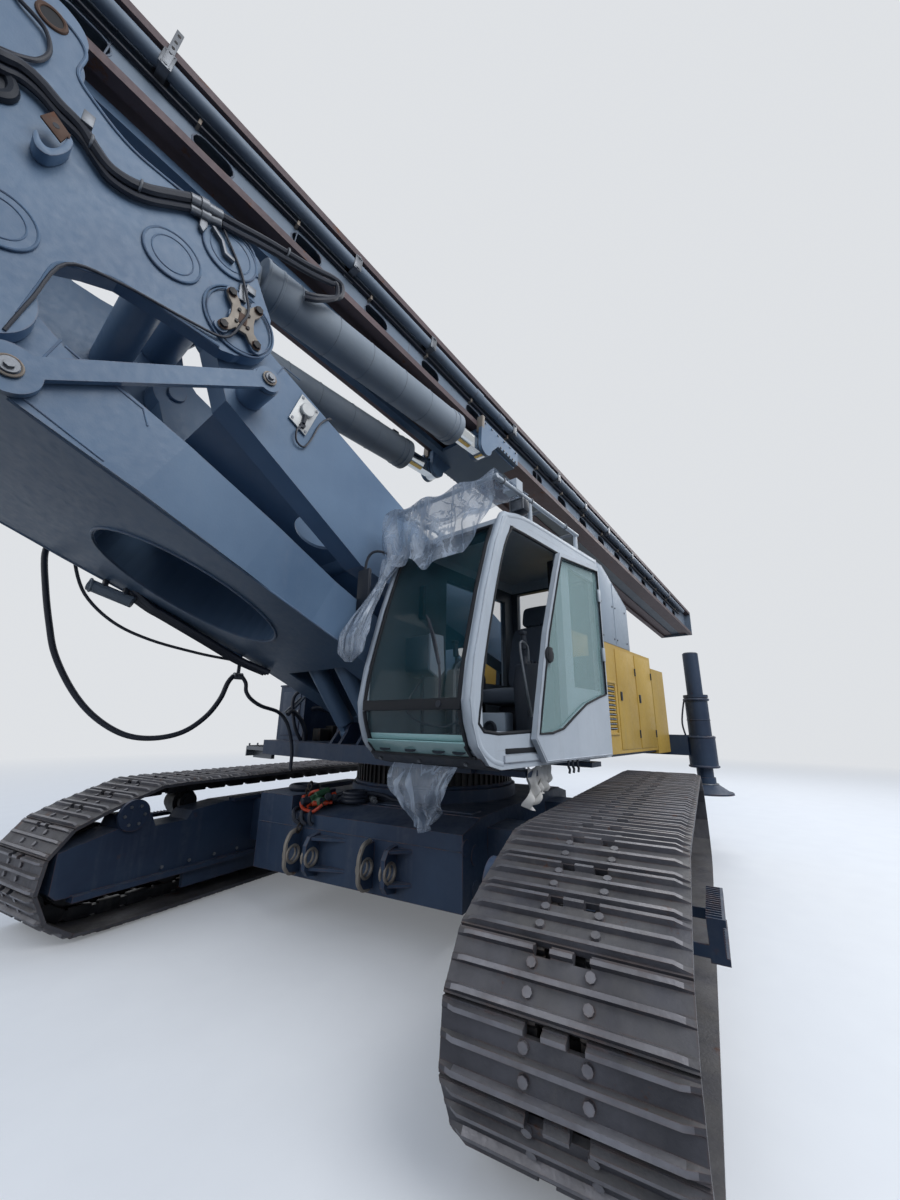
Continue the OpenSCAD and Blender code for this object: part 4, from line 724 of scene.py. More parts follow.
# tilt cylinders: end collars, gland rings, ports and a pressure pipe each
collars = [rod((a, 0.43, 0), (b, 0.43, 0), r, tiltFrame, 40, 0.006) for a, b, r in
           ((0.14, 0.17, 0.198), (0.27, 0.3, 0.196), (2.52, 2.56, 0.199), (2.6, 2.69, 0.203))]
collars += [hoop((x, 0.43, 0), 0.1915, 0.003, tiltFrame, "X", 40) for x in (0.45, 0.85, 1.25, 1.7, 2.1)]
glandBolts = bolts(circle((2.69, 0.43, 0), 0.165, "X", 10), (1, 0, 0), 0.016, 0.014, tiltFrame)
ports = [block((0.36, 0.37, -0.235), (0.46, 0.45, -0.17), tiltFrame),
         block((2.42, 0.37, -0.235), (2.52, 0.45, -0.17), tiltFrame)]
feed = [pipe([(0.46, 0.41, -0.215), (0.6, 0.41, -0.21), (1.2, 0.41, -0.208), (2.0, 0.41, -0.208),
              (2.42, 0.41, -0.215)], 0.011, tiltFrame)]
dressed("tiltBarrelDetails", "tilt_barrels", "tube_steel", 30, tubePaint=mirrored(collars, tiltFrame),
        fittingSteel=mirrored(glandBolts + ports, tiltFrame), hoseRubber=mirrored(feed, tiltFrame))
saddleBolts = []
for first, last, up, count, size in ((-5.38, -4.62, -0.44, 11, 0.016), (-5.38, -4.62, -0.285, 6, 0.014),
                                     (0.1, 0.9, -0.44, 9, 0.016)):
    row = spread((first, 0.51, up), (last, 0.51, up), count)
    saddleBolts += bolts(row, outward, size, size - 0.002, mastFrame)
wipers = [block((x, 0.44, -0.46), (x + 0.05, 0.535, -0.22), mastFrame) for x in (-4.57, 0.94)]
dressed("saddleDetails", "saddle", "fitting_steel", 30, fittingSteel=mirrored(saddleBolts, mastFrame),
        wornClamp=mirrored(wipers, mastFrame))
print("cylinders dressed")

# leader: the pipe with its clamps, cables beside it, plates and bolts at both ends
riser = {"side": 0.3975, "up": 0.2, "radius": 0.0575, "ends": (-15.14, 1.46), "sleeve": 0.07,
         "clamps": (1.1, -0.525, -2.37, -3.56, -5.43, -6.89, -8.01, -9.16, -10.6, -12.1, -13.6),
         "sleeves": (-4.55, -5.1, -7.5, 0.4, -10.0)}
side, up = riser["side"], riser["up"]
(foot, top), sleeve = riser["ends"], riser["sleeve"]
riserTube = [rod((foot, side, up), (top, side, up), riser["radius"], mastFrame, 32, 0.004)]
riserTube += [rod((x - sleeve, side, up), (x + sleeve, side, up), 0.066, mastFrame, 28, 0.006)
              for x in riser["sleeves"]]
clampParts, clampBolts = [], []
for x in riser["clamps"]:
    clampParts += [block((x - 0.035, 0.3, z - 0.008), (x + 0.035, 0.468, z + 0.008), mastFrame)
                   for z in (up - 0.075, up + 0.075)]
    clampParts.append(block((x - 0.045, 0.452, up - 0.09), (x + 0.045, 0.462, up + 0.09), mastFrame, 0.003))
    clampParts.append(block((x - 0.06, 0.299, up - 0.12), (x + 0.06, 0.315, up + 0.12), mastFrame, 0.003))
    clampBolts += bolts([(x, 0.462, up - 0.072), (x, 0.462, up + 0.072)], outward, 0.013, 0.012, mastFrame)
tall = [block((-0.55, 0.462, 0.1), (-0.498, 0.468, 0.56), mastFrame, 0.002)]
# dark discs: painted shade inside the plate's holes
tallHoleShades = [rod((-0.525, 0.46, z), (-0.525, 0.47, z), 0.013, mastFrame, 12, 0) for z in (0.34, 0.42, 0.51)]
cables = [pipe([(-15.0, 0.318 + 0.02 * k, 0.09 - 0.01 * k)]
               + [(x, 0.318 + 0.02 * k, 0.085 + 0.012 * ((x * 10) % 3 - 1))
                  for x in (-12, -9.5, -7, -5, -3.4, -1.9, -0.6, 0.8)] + [(2.1, 0.318 + 0.02 * k, 0.09)],
               0.012, mastFrame, 3) for k in range(2)]
cableClips = [block((p.x - 0.012, 0.3, 0.06), (p.x + 0.012, 0.36, 0.115), mastFrame, 0)
              for p in spread((-14.5, 0, 0), (1.9, 0, 0), 19)]
riserPiece = dressed("leaderPipe", "leader", "leader_paint", 30, leaderPaint=riserTube,
                     fittingSteel=clampParts + clampBolts + tall, darkCast=tallHoleShades, hoseRubber=cables,
                     wornClamp=cableClips)
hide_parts("mast_pipe")
footSpots = [(2.32, y, z) for y in (-0.38, -0.19, 0.19, 0.38) for z in (-0.3, 0.3)]
footSpots += [(2.32, y, z) for z in (-0.15, 0.0, 0.15) for y in (-0.38, 0.38)]
footBolts = bolts(footSpots, (1, 0, 0), 0.022, 0.02, mastFrame)
# cross ribs and long holes of the web, bolts along the rails
webRibs = [pipe([(p.x, 0.3, -0.285), (p.x, 0.3, 0.285)], 0.006, mastFrame, 1)
           for p in spread((-15.6, 0, 0), (1.3, 0, 0), 12)]
slots = {"count": 19, "first": 2.26 - 0.555, "step": 0.9, "up": -0.035, "radius": 0.085}
slotRims = []
for k in range(slots["count"]):
    x, r = slots["first"] - slots["step"] * k, slots["radius"]
    outline = [(x + sign * r + r * math.cos(a), 0.301, slots["up"] + r * math.sin(a))
               for sign, first in ((1, -90), (-1, 90))
               for a in (math.radians(first + 30 * n) for n in range(7))]
    slotRims.append(pipe(outline, 0.007, mastFrame, 1, 1, True))
boltRows = bolts(spread((-15.5, 0.395, 0.372), (2.1, 0.395, 0.372), 60), (0, 0, 1), 0.014, 0.008, mastFrame)
headPlates = bolts([(-16.02, 0.27, 0.3), (-16.14, 0.27, 0.21)], outward, 0.05, 0.02, mastFrame)
dressed("leaderDetails", "leader", "leader_paint", 30,
        leaderPaint=mirrored(slotRims, mastFrame) + mirrored(webRibs, mastFrame),
        fittingSteel=footBolts + mirrored(headPlates, mastFrame),
        rustySteel=mirrored(boltRows, mastFrame))
print("leader dressed")

# cab: rounded tube frame, black seals, chin plate, sill groove
cab = {"inner": 0.95, "outer": 1.95, "inset": 0.032, "tube": 0.036, "pane": (1.03, 1.87)}
screenLine = [(1.9, 1.78), (1.86, 2.025), (1.74, 2.471), (1.62, 2.831), (1.52, 3.062)]
bellyLine = [(1.6, 1.38), (1.72, 1.41), (1.83, 1.52), (1.88, 1.65)]
edgeLine = [(u - 0.03, z + (0.03 if z < 1.5 else 0)) for u, z in bellyLine + screenLine]
edgeLine += [(1.42, 3.1), (1.145, 3.155), (0.4, 3.175), (-0.12, 3.19)]
cabTubes = [pipe(atSide(y, edgeLine), cab["tube"], steps=6, rings=4)
            for y in (cab["outer"] - cab["inset"], cab["inner"] + cab["inset"])]
glassLine = [(u + 0.001, z) for u, z in screenLine if z < 3.0] + [(1.55, 2.99)]
seals = [pipe(atSide(y, glassLine), 0.013, steps=6) for y in cab["pane"]]
seals += [pipe(atSide(y, [(1.9, 1.72), (1.882, 1.65), (1.835, 1.53)]), 0.013, steps=4) for y in cab["pane"]]
seals += [pipe([(1.552, y, 2.995) for y in cab["pane"]], 0.014, steps=1)]
seals += [pipe([(1.781, 1.0, 1.452), (1.781, 1.9, 1.452)], 0.011, steps=1)]
seals += [
    pipe(atSide(y, [(1.835, 1.53), (1.84, 1.512), (1.781, 1.452)]), 0.011, steps=1) for y in cab["pane"]]
seals += [block((1.88, 1.02, 1.722), (1.912, 1.88, 1.79), edge=0.006)]
doorLine = [(0.665, 1.6), (1.2, 1.6), (1.77, 1.6), (1.792, 1.78), (1.752, 2.025), (1.632, 2.471),
            (1.512, 2.831), (1.42, 2.99), (1.36, 3.018), (1.0, 3.03), (0.665, 3.036)]
seals.append(pipe(atSide(1.943, doorLine), 0.013, steps=3))
seals.append(block((0.02, 1.948, 1.468), (1.55, 1.957, 1.5), edge=0.003))
innerPost = [pipe([(u - 0.075, 1.885, z) for u, z in screenLine], 0.02, steps=5),
             block((0.6, 1.83, 1.6), (0.665, 1.895, 3.0), edge=0.01)]
chin = cutPlate(
    [(1.575, 1.368), (1.728, 1.398), (1.778, 1.448), (1.768, 1.458), (1.72, 1.41), (1.575, 1.38)], 1.925,
    0.95, edge=0.003)
kickShelf = [cutPlate([(1.782, 1.452), (1.838, 1.508), (1.864, 1.534), (1.852, 1.54), (1.83, 1.514),
                       (1.774, 1.458)], 1.87, 0.84, edge=0.002)]
kickOvals = []
slope, flatten = Matrix.Rotation(math.radians(45), 4, "Y"), Matrix.Diagonal((0.02, 0.05, 1, 1))
for y in (1.16, 1.4, 1.64, 1.8):
    oval = rod((0, 0, 0), (0, 0, 0.004), 1, Matrix(), 24, 0)
    oval.data.transform(Matrix.Translation((1.812, y, 1.48)) @ slope @ flatten)
    kickOvals.append(settle(oval, houseFrame))
chinBolts = bolts([(1.745, y, 1.412) for y in (1.05, 1.42, 1.8)], (0.7, 0, -0.7), 0.013, 0.009)
sill = [block((0.6, 1.86, 1.49), (1.66, 1.94, 1.6), edge=0.02),
        block((-0.1, 1.951, 1.415), (1.52, 1.96, 1.44), edge=0.003)]
dressed("cabFrameTrim", "house", "cab_paint", 40, cabPaint=cabTubes + sill, blackSeal=seals + innerPost,
        chinPaint=[chin], fittingSteel=chinBolts, paleShelf=kickShelf, darkPlastic=kickOvals)
wiperArm = pipe([(1.905, 1.72, 1.76), (1.885, 1.7, 1.96), (1.85, 1.62, 2.18), (1.8, 1.5, 2.35)], 0.007)
wiperBlade = pipe([(1.88, 1.69, 2.0), (1.81, 1.53, 2.32)], 0.011, steps=1)
dressed("wiper", "house", "dark_plastic", 30,
        darkPlastic=[wiperArm, wiperBlade, rod((1.89, 1.72, 1.755), (1.92, 1.72, 1.755), 0.02)])

# cab roof: rack brackets, a work lamp, hatch, mirror
lampBox = [block((1.19, 1.86, 3.2), (1.285, 1.985, 3.305), edge=0.02)]
lampLens = [block((1.284, 1.875, 3.215), (1.29, 1.97, 3.29), edge=0.003),
            pipe([(1.287, 1.866, 3.21), (1.287, 1.866, 3.296), (1.287, 1.979, 3.296),
                  (1.287, 1.979, 3.21)], 0.006, steps=1, closed=True)]
rackEnds = [hoop((x, y, 3.35), 0.0215, 0.006, axis="X") for x in (0.5, 1.1, 1.5) for y in (0.97, 1.94)]
cross = [rod((x, 0.972, 3.35), (x, 1.938, 3.35), 0.014) for x in (0.3, 0.9)]
hatch = [block((0.25, 1.15, 3.215), (0.95, 1.75, 3.24), edge=0.012)]
mirror = [pipe([(1.58, 0.955, 2.95), (1.72, 0.86, 3.0), (1.78, 0.8, 2.9), (1.78, 0.79, 2.55)], 0.011),
          block((1.765, 0.72, 2.5), (1.8, 0.86, 2.84), edge=0.015)]
dressed("cabRoofDetails", "house", "cab_paint", 30, cabPaint=hatch,
        fittingSteel=rackEnds + cross + lampLens, darkPlastic=lampBox + mirror)

# cab door: seal round the pane, handle, lower panel fold, hooks below
doorRing = [(0.0, 1.91), (0.15, 1.88), (0.43, 1.81), (0.65, 1.715), (0.86, 1.62), (1.03, 1.59),
            (1.21, 1.585), (1.165, 1.75), (1.012, 2.29), (0.806, 2.807), (0.735, 2.97), (0.0, 3.05)]
doorSeal = pipe(atSide(2.003, doorRing), 0.009, steps=1, closed=True)
innerSeal = pipe(atSide(1.966, doorRing), 0.006, steps=1, closed=True)
handle = [hoop((1.035, 2.005, 2.13), 0.045, 0.014, count=24),
          rod((1.035, 1.998, 2.13), (1.035, 2.012, 2.13), 0.034),
          block((1.0, 2.002, 2.08), (1.07, 2.022, 2.19), edge=0.01)]
doorEdge = pipe(atSide(2.0, [(-0.03, 1.41), (1.12, 1.41), (1.25, 1.56), (1.195, 1.755)]), 0.006, steps=1)
hooks = [pipe(atSide(1.985, [(u, 1.41), (u + 0.01, 1.36), (u - 0.01, 1.335), (u, 1.31)]), 0.009, steps=3)
         for u in (0.62, 0.7, 0.77)]
runners = [rod((u, 1.965, 1.425), (u, 1.99, 1.425), 0.022) for u in (0.05, 0.95)]
hinge = [block((-0.03, 2.0, h), (0.02, 2.014, h + 0.12), edge=0.004) for h in (2.2, 2.75)]
dressed("cabDoorTrim", "cab_door", "dark_plastic", 30, blackSeal=[doorSeal, innerSeal] + handle,
        cabPaint=[doorEdge] + hinge, darkPlastic=hooks + runners)
print("cab dressed")


# cab inside: swollen cushions, consoles, levers, screens
def cushion(name, low, high, swell, lean=0, cuts=3):  # a box swollen between its sewn edges
    low, high = Vector(low), Vector(high)
    middle = (low + high) / 2
    bpy.ops.object.select_all(action="DESELECT")
    bpy.ops.mesh.primitive_cube_add(size=1, location=middle, scale=high - low)
    piece = settle(bpy.context.object)
    bpy.ops.object.mode_set(mode="EDIT")
    bpy.ops.mesh.select_all(action="SELECT")
    bpy.ops.mesh.subdivide(number_cuts=cuts)
    bpy.ops.object.mode_set(mode="OBJECT")
    half = (high - low) / 2
    for corner in piece.data.vertices:
        share = [(corner.co[k] - middle[k]) / half[k] for k in range(3)]
        for k in range(3):
            crown = (1 - share[(k + 1) % 3] ** 2) * (1 - share[(k + 2) % 3] ** 2)
            corner.co[k] += swell * share[k] * (crown - 0.4)
    select(piece)
    smooth = piece.modifiers.new("smooth", "SUBSURF")
    smooth.levels = smooth.render_levels = 2
    bpy.ops.object.modifier_apply(modifier=smooth.name)
    piece.data.transform(
        Matrix.Translation(low) @ Matrix.Rotation(math.radians(lean), 4, "Y") @ Matrix.Translation(-low))
    settle(piece, houseFrame)
    coat(piece, "seatFabric")
    joined(name, [piece], "house", 60)


seat = {"middle": 1.45, "floor": 1.49, "ahead": 0.2, "lift": 0.05}
y, z, u = seat["middle"], seat["floor"] + seat["lift"], seat["ahead"]
cushion("seatCushion", (0.14 + u, y - 0.25, z + 0.26), (0.64 + u, y + 0.25, z + 0.4), 0.02)
cushion("seatBack", (0.06 + u, y - 0.24, z + 0.4), (0.19 + u, y + 0.24, z + 1.0), 0.02, -12)
cushion("headRest", (-0.055 + u, y - 0.15, z + 1.01), (0.035 + u, y + 0.15, z + 1.21), 0.015, -12)
seatFrame = [block((0.2, y - 0.16, 1.49), (0.6, y + 0.16, 1.59), edge=0.01),
             block((0.24 + u, y - 0.13, 1.58), (0.48 + u, y + 0.13, z + 0.255), edge=0.02)]
seatFrame += [rod((0.03 + u, y + side, z + 0.97), (u, y + side, z + 1.07), 0.01) for side in (-0.06, 0.06)]
seatPiece = dressed("seatFrame", "house", "dark_plastic", 30, darkPlastic=seatFrame)
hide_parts("cab_seat")
consoles, grips = [], []
for side in (1.115, 1.785):
    consoles.append(cutPlate([(0.46 + u, 1.49), (0.86 + u, 1.49), (0.9 + u, 1.93), (0.86 + u, z + 0.54),
                              (0.5 + u, z + 0.58), (0.44 + u, z + 0.5)], side + 0.055, 0.11, edge=0.014))
    grips.append(rod((0.8 + u, side, z + 0.54), (0.8 + u, side, z + 0.6), 0.045, tip=0.022, sides=16))
    grips.append(rod((0.8 + u, side, z + 0.6), (0.805 + u, side, z + 0.66), 0.012))
    grips.append(rod((0.805 + u, side, z + 0.655), (0.82 + u, side, z + 0.78), 0.026, tip=0.02, sides=16,
                     edge=0.006))
    grips.append(
        block((0.795 + u, side - 0.024, z + 0.765), (0.85 + u, side + 0.024, z + 0.795), edge=0.008))
    grips += [rod((0.53 + 0.06 * k + u, side, z + 0.557), (0.53 + 0.06 * k + u, side, z + 0.582), 0.012,
                  sides=12) for k in range(4)]
z = seat["floor"]
gateLever = pipe(
    [(1.06, 1.85, 2.1), (1.1, 1.865, 2.2), (1.2, 1.865, 2.21), (1.16, 1.865, 2.0), (1.06, 1.86, 1.7)],
    0.009, steps=3)
travel = [pipe([(1.3, y, z + 0.05), (1.3, y, z + 0.38), (1.3, y + 0.01, z + 0.56),
                (1.27, y + 0.07, z + 0.63)], 0.011) for y in (1.34, 1.42)]
travel.append(gateLever)
pedals = [
    block((1.28, y - 0.04, z + 0.06), (1.42, y + 0.04, z + 0.085), edge=0.008) for y in (1.3, 1.42, 1.56)]
pedals += [block((1.34, y - 0.012, z), (1.36, y + 0.012, z + 0.07), edge=0) for y in (1.3, 1.42, 1.56)]
monitorLine = [(1.4, 1.98), (1.5, 2.03), (1.5, 2.3), (1.36, 2.3), (1.34, 2.04)]
monitor = cutPlate(monitorLine, 1.25, 0.26, edge=0.015)
bezel = cutPlate([(1.42 + 1.06 * (a - 1.42), 2.15 + 1.04 * (b - 2.15)) for a, b in monitorLine], 1.275,
                 0.026, edge=0.008)
screen = block((1.352, 1.02, 2.07), (1.362, 1.22, 2.27), edge=0.003)
monitorFoot = [pipe([(1.42, 1.12, 2.0), (1.42, 1.12, 1.9), (1.4, 1.12, z)], 0.016, steps=3),
               rod((1.4, 1.12, z), (1.4, 1.12, z + 0.02), 0.05)]
hanging = [block((1.33, 0.985, 2.47), (1.37, 1.06, 2.76), edge=0.012),
           pipe([(1.35, 1.0, 2.76), (1.36, 0.98, 2.9), (1.4, 0.97, 3.02)], 0.012)]
ventBox = [block((0.92, 1.35, z + 0.001), (1.04, 1.62, z + 0.24), edge=0.012)]
vent = [hoop((1.044, 1.485, z + 0.12), 0.05, 0.012, axis="X"),
        rod((1.035, 1.485, z + 0.12), (1.045, 1.485, z + 0.12), 0.045)]
floorMat = [block((0.1, 1.03, z + 0.0005), (1.62, 1.87, z + 0.012), edge=0.003)]
shelf = [cutPlate([(1.58, z + 0.01), (1.83, z + 0.05), (1.845, z + 0.09), (1.6, z + 0.06)], 1.86, 0.82,
                  edge=0.006)]
shelfOvals = [rod((1.72, y, z + 0.075), (1.722, y, z + 0.085), 0.045) for y in (1.24, 1.5, 1.76)]
dash = [block((-0.07, 1.05, z + 0.55), (0.0, 1.85, z + 0.75), edge=0.02),
        block((1.3, 1.02, 3.02), (1.5, 1.88, 3.06), edge=0.01)]
cable = [pipe([(1.4, 1.13, 2.0), (1.55, 1.1, 1.8), (1.6, 1.2, 1.68), (1.5, 1.4, 1.62), (1.4, 1.55, 1.7)],
              0.008)]
insidePiece = dressed(
    "cabInside", "house", "dark_plastic", 35,
    darkPlastic=consoles + grips + pedals + hanging + dash + monitorFoot + shelfOvals + vent,
    screenGrey=[monitor], paleSheet=[bezel] + ventBox, fittingSteel=travel, blackSeal=[screen] + floorMat,
    hoseRubber=cable, paleShelf=shelf)
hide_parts("cab_controls")
print("cab furnished")

# house: doors with hinges and latches, louvre slats, cowl panels, handrail, exhaust
louvre = {"rear": -1.572, "front": -1.118, "low": 1.612, "step": 0.054, "count": 10, "thick": 0.008}
rear, front, thick = louvre["rear"], louvre["front"], louvre["thick"]
slats = [cutPlate([(rear, h), (front, h), (front, h + thick), (rear, h + thick)], 1.505, 0.03, edge=0)
         for h in (louvre["low"] + louvre["step"] * k for k in range(louvre["count"]))]
louvreFrame = [block((a, 1.499, low), (b, 1.512, high))
               for a, b, low, high in ((-1.62, -1.58, 1.57, 2.14), (-1.11, -1.07, 1.57, 2.14),
                                       (-1.62, -1.07, 2.14, 2.17), (-1.62, -1.07, 1.54, 1.57))]
doors = [block((a, 1.498, 1.37), (b, 1.508, 2.59), edge=0.006)
         for a, b in ((-3.05, -2.4), (-2.36, -1.68), (-1.03, -0.44))]
latches = [block((u, 1.506, 1.95), (u + 0.05, 1.522, 2.06), edge=0.006) for u in (-2.5, -1.8, -0.56)]
hinges = [rod((u, 1.51, h), (u, 1.51, h + 0.1), 0.012) for u in (-3.05, -2.36, -1.03) for h in (1.5, 2.3)]
otherDoors = [otherSide(part) for part in doors + latches + hinges]
grilleBars = [block((u, -1.512, 1.6), (u + 0.02, -1.499, 2.4), edge=0)
              for u in [-1.6 + 0.045 * k for k in range(11)]]
roofRibs = [
    block((-3.0 + 0.16 * k, -0.75, 2.719), (-2.96 + 0.16 * k, 0.75, 2.735), edge=0.004) for k in range(5)]
roofRows = [p for s in (-1, 1) for p in spread((-3.05, s * 1.42, 2.63), (-1.75, s * 1.42, 2.63), 8)]
roofBolts = bolts(roofRows, (0, 0, 1), 0.014, 0.01)
exhaust = [pipe([(-1.97, -1.05, 3.0), (-1.97, -1.05, 3.08), (-2.03, -1.05, 3.14), (-2.12, -1.05, 3.16)],
                0.055, steps=4, rings=4), hoop((-1.97, -1.05, 2.66), 0.09, 0.02, axis="Z")]
railLine = [(-3.6, 2.48), (-3.6, 2.95), (-3.55, 3.0), (-2.6, 3.0), (-2.5, 2.95), (-2.5, 2.63)]
rails = [pipe(atSide(-1.38, railLine), 0.017, steps=4),
         pipe(atSide(-1.38, [(-3.05, 2.63), (-3.05, 3.0)]), 0.015, steps=1)]
cowlSide = [(-2.3, 2.64), (-1.32, 2.64), (-1.32, 3.64), (-1.5, 3.64), (-2.3, 3.24)]
panels = [cutPlate(cowlSide, side, 0.008, edge=0.002) for side in (1.496, 1.052)]
panels.append(cutPlate([(-2.31, 3.238), (-2.305, 3.252), (-1.5, 3.654), (-1.2, 3.654), (-1.2, 3.64),
                        (-1.5, 3.64)], 1.496, 0.452, edge=0.002))
cowlFront = [block((-1.32, 1.045, 2.64), (-1.192, 1.499, 3.648), edge=0.006)]
cowlRear = [block((-2.31, 1.05, 2.64), (-2.3, 1.49, 3.24), edge=0.003)]
panelSeams = [pipe([(-1.8, 1.4975, 2.66), (-1.8, 1.4975, 3.48)], 0.004, steps=1)]
panelBolts = bolts([(u, 1.496, h) for u in (-2.2, -1.85, -1.75, -1.38) for h in (2.72, 3.15)], outward,
                   0.012, 0.008)
dressed("houseDetails", "house", "house_paint", 30,
        housePaint=doors + otherDoors[:3] + louvreFrame + roofRibs,
        darkPlastic=latches + hinges + otherDoors[3:] + grilleBars,
        paleSheet=slats + panels + cowlRear + panelSeams, chinPaint=cowlFront,
        fittingSteel=roofBolts + panelBolts, rustySteel=exhaust, framePaint=rails)

# counterweight: panels, seams, lifting eyes, bolts and lamps
weight = [block((-3.728, -1.46, 1.31), (-3.719, 1.46, 2.45), edge=0.006),
          block((-3.7, -1.48, 2.479), (-3.16, 1.48, 2.49), edge=0.004)]
weightSeams = [pipe(atSide(s * 0.49, [(-3.73, 1.33), (-3.73, 2.43)]), 0.007, steps=1) for s in (-1, 1)]
eyes = [pipe(atSide(s * 0.9, [(-3.5, 2.485), (-3.5, 2.57), (-3.43, 2.61), (-3.36, 2.57), (-3.36, 2.485)]),
             0.02) for s in (-1, 1)]
weightBolts = bolts([(-3.728, s * 1.3, h) for s in (-1, 1) for h in (1.5, 1.9, 2.3)], (-1, 0, 0), 0.03,
                    0.02)
tailLamps = [
    block((-3.74, s * 1.25 - 0.09, 1.38), (-3.725, s * 1.25 + 0.09, 1.43), edge=0.005) for s in (-1, 1)]
dressed("counterweightDetails", "house", "house_paint", 30, housePaint=weight, darkPlastic=weightSeams,
        fittingSteel=eyes + weightBolts, orangePlastic=tailLamps)
print("house dressed")

# deck box, its pipes, walkway grating and the deck's edge
boxDoor = [block((1.078, -1.42, 1.5), (1.09, -1.06, 1.98), edge=0.006),
           block((0.4, -1.508, 1.5), (1.02, -1.498, 1.98), edge=0.006)]
boxLid = [block((0.34, -1.505, 2.045), (1.095, -0.975, 2.065), edge=0.006)]
boxLatch = [block((1.088, -1.1, 1.7), (1.1, -1.07, 1.78), edge=0.004),
            rod((0.5, -1.505, 1.72), (0.5, -1.52, 1.72), 0.02)]
coil = [hoop((0.62, -1.25, 2.1 + 0.035 * k), 0.15 + 0.008 * (k % 2), 0.02, axis="Z", count=24)
        for k in range(3)]
ribbed = [hoop((1.0 - 0.035 * k, -1.15, 2.13), 0.055, 0.012, axis="X", count=16) for k in range(8)]
ribbed.append(rod((1.02, -1.15, 2.13), (0.7, -1.15, 2.13), 0.05))
deckTubes = [rod((1.116, -0.9, 1.933), (1.3, -0.9, 1.74), 0.014),
             rod((1.163, -0.93, 1.9), (1.34, -0.93, 1.74), 0.014)]
deckHoses = [pipe([(1.36, -0.84, 1.72), (1.3, -0.86, 1.757), (1.2, -0.87, 1.69), (1.132, -0.88, 1.6),
                   (1.1, -0.89, 1.515), (1.09, -0.9, 1.45)], 0.024),
             pipe([(1.08, -0.95, 1.95), (1.2, -0.93, 1.96), (1.28, -0.9, 1.85), (1.24, -0.88, 1.6),
                   (1.16, -0.87, 1.46)], 0.018),
             pipe([(0.5, -0.75, 1.452), (0.52, -0.78, 1.6), (0.7, -0.85, 1.72), (0.95, -0.93, 1.8),
                   (0.98, -0.99, 1.78)], 0.022)]
valves = [block((0.55 + 0.16 * k, -0.92, 1.452), (0.67 + 0.16 * k, -0.78, 1.58 + 0.03 * (k % 2)),
                edge=0.01) for k in range(3)]
grating = [block((u, -1.86, 1.369), (u + 0.006, -1.475, 1.377), edge=0)
           for u in [-0.36 + 0.05 * k for k in range(32)]]
grating += [block((-0.37, v, 1.369), (1.22, v + 0.006, 1.378), edge=0)
            for v in [-1.85 + 0.06 * k for k in range(7)]]
toes = [rod((u, -1.87, 1.372), (u, -1.87, 1.4), 0.01, sides=8, edge=0)
        for u in [-0.3 + 0.1 * k for k in range(16)]]
dressed("deckDetails", "house", "frame_paint", 30, framePaint=boxDoor + boxLid,
        fittingSteel=deckTubes + grating + toes + boxLatch, hoseRubber=deckHoses + coil + ribbed,
        darkCast=valves)
edgeRows = [(s, p) for s in (-1, 1) for p in spread((-2.9, s * 1.46, 1.375), (-0.5, s * 1.46, 1.375), 9)]
edgeBolts = [bolts([p], (0, s, 0), 0.015, 0.01)[0] for s, p in edgeRows]
slewRing = {"ribs": 80, "inner": 0.818, "outer": 0.842, "half": 0.012, "low": 1.075, "high": 1.27}
ringRibs = []
for k in range(slewRing["ribs"]):
    rib = block((slewRing["inner"], -slewRing["half"], slewRing["low"]),
                (slewRing["outer"], slewRing["half"], slewRing["high"]), Matrix(), 0)
    ringRibs.append(settle(rib, tracksFrame @ Matrix.Rotation(2 * math.pi * k / slewRing["ribs"], 4, "Z")))
ringBelts = [hoop((0, 0, h), 0.835, 0.02, tracksFrame, "Z", 64) for h in (1.065, 1.275)]
dressed("slewRingDetails", "chassis", "wheel_steel", 30, wheelSteel=ringRibs, framePaint=ringBelts)
dressed("deckBolts", "house", "frame_paint", 30, fittingSteel=edgeBolts)

# rear jacks: collars, bolts, pressure pipes; collars as (height, radius, thickness)
jack = {"along": -3.88, "side": 1.9,
        "collars": ((1.09, 0.19, 0.018), (1.5, 0.18, 0.02), (2.05, 0.16, 0.022), (2.1, 0.15, 0.016),
                    (1.75, 0.158, 0.006))}


def onJack(sign, height, along=0.0, across=0.0):  # a place measured from the jack's axis on the ground
    return Vector((jack["along"] + along, sign * (jack["side"] + across), height))


jackRings, jackBolts, jackPipes = [], [], []
for s in (-1, 1):
    jackRings += [hoop(onJack(s, h), r, t, axis="Z", count=32) for h, r, t in jack["collars"]]
    jackBolts += bolts(circle(onJack(s, 1.51), 0.172, "Z", 8), (0, 0, 1), 0.012, 0.014)
    jackPipes.append(pipe([onJack(s, 1.45, 0.1, -0.16), onJack(s, 1.7, 0.13, -0.2),
                           onJack(s, 2.0, 0.08, -0.16), onJack(s, 2.08, 0.02, -0.14)], 0.013))
dressed("jackDetails", "house", "frame_paint", 30, framePaint=jackRings, fittingSteel=jackBolts,
        hoseRubber=jackPipes)
for s, body in ((1, "jack_left"), (-1, "jack_right")):
    cap = [rod(onJack(s, 2.755), onJack(s, 2.775), 0.1, sides=28, edge=0.006),
           hoop(onJack(s, 0.85), 0.15, 0.012, axis="Z")]
    foot = [hoop(onJack(s, 0.735), 0.325, 0.012, axis="Z", count=40)]
    dressed("jackFoot_" + body, body, "frame_paint", 30, framePaint=foot, fittingSteel=cap)
print("jacks dressed")

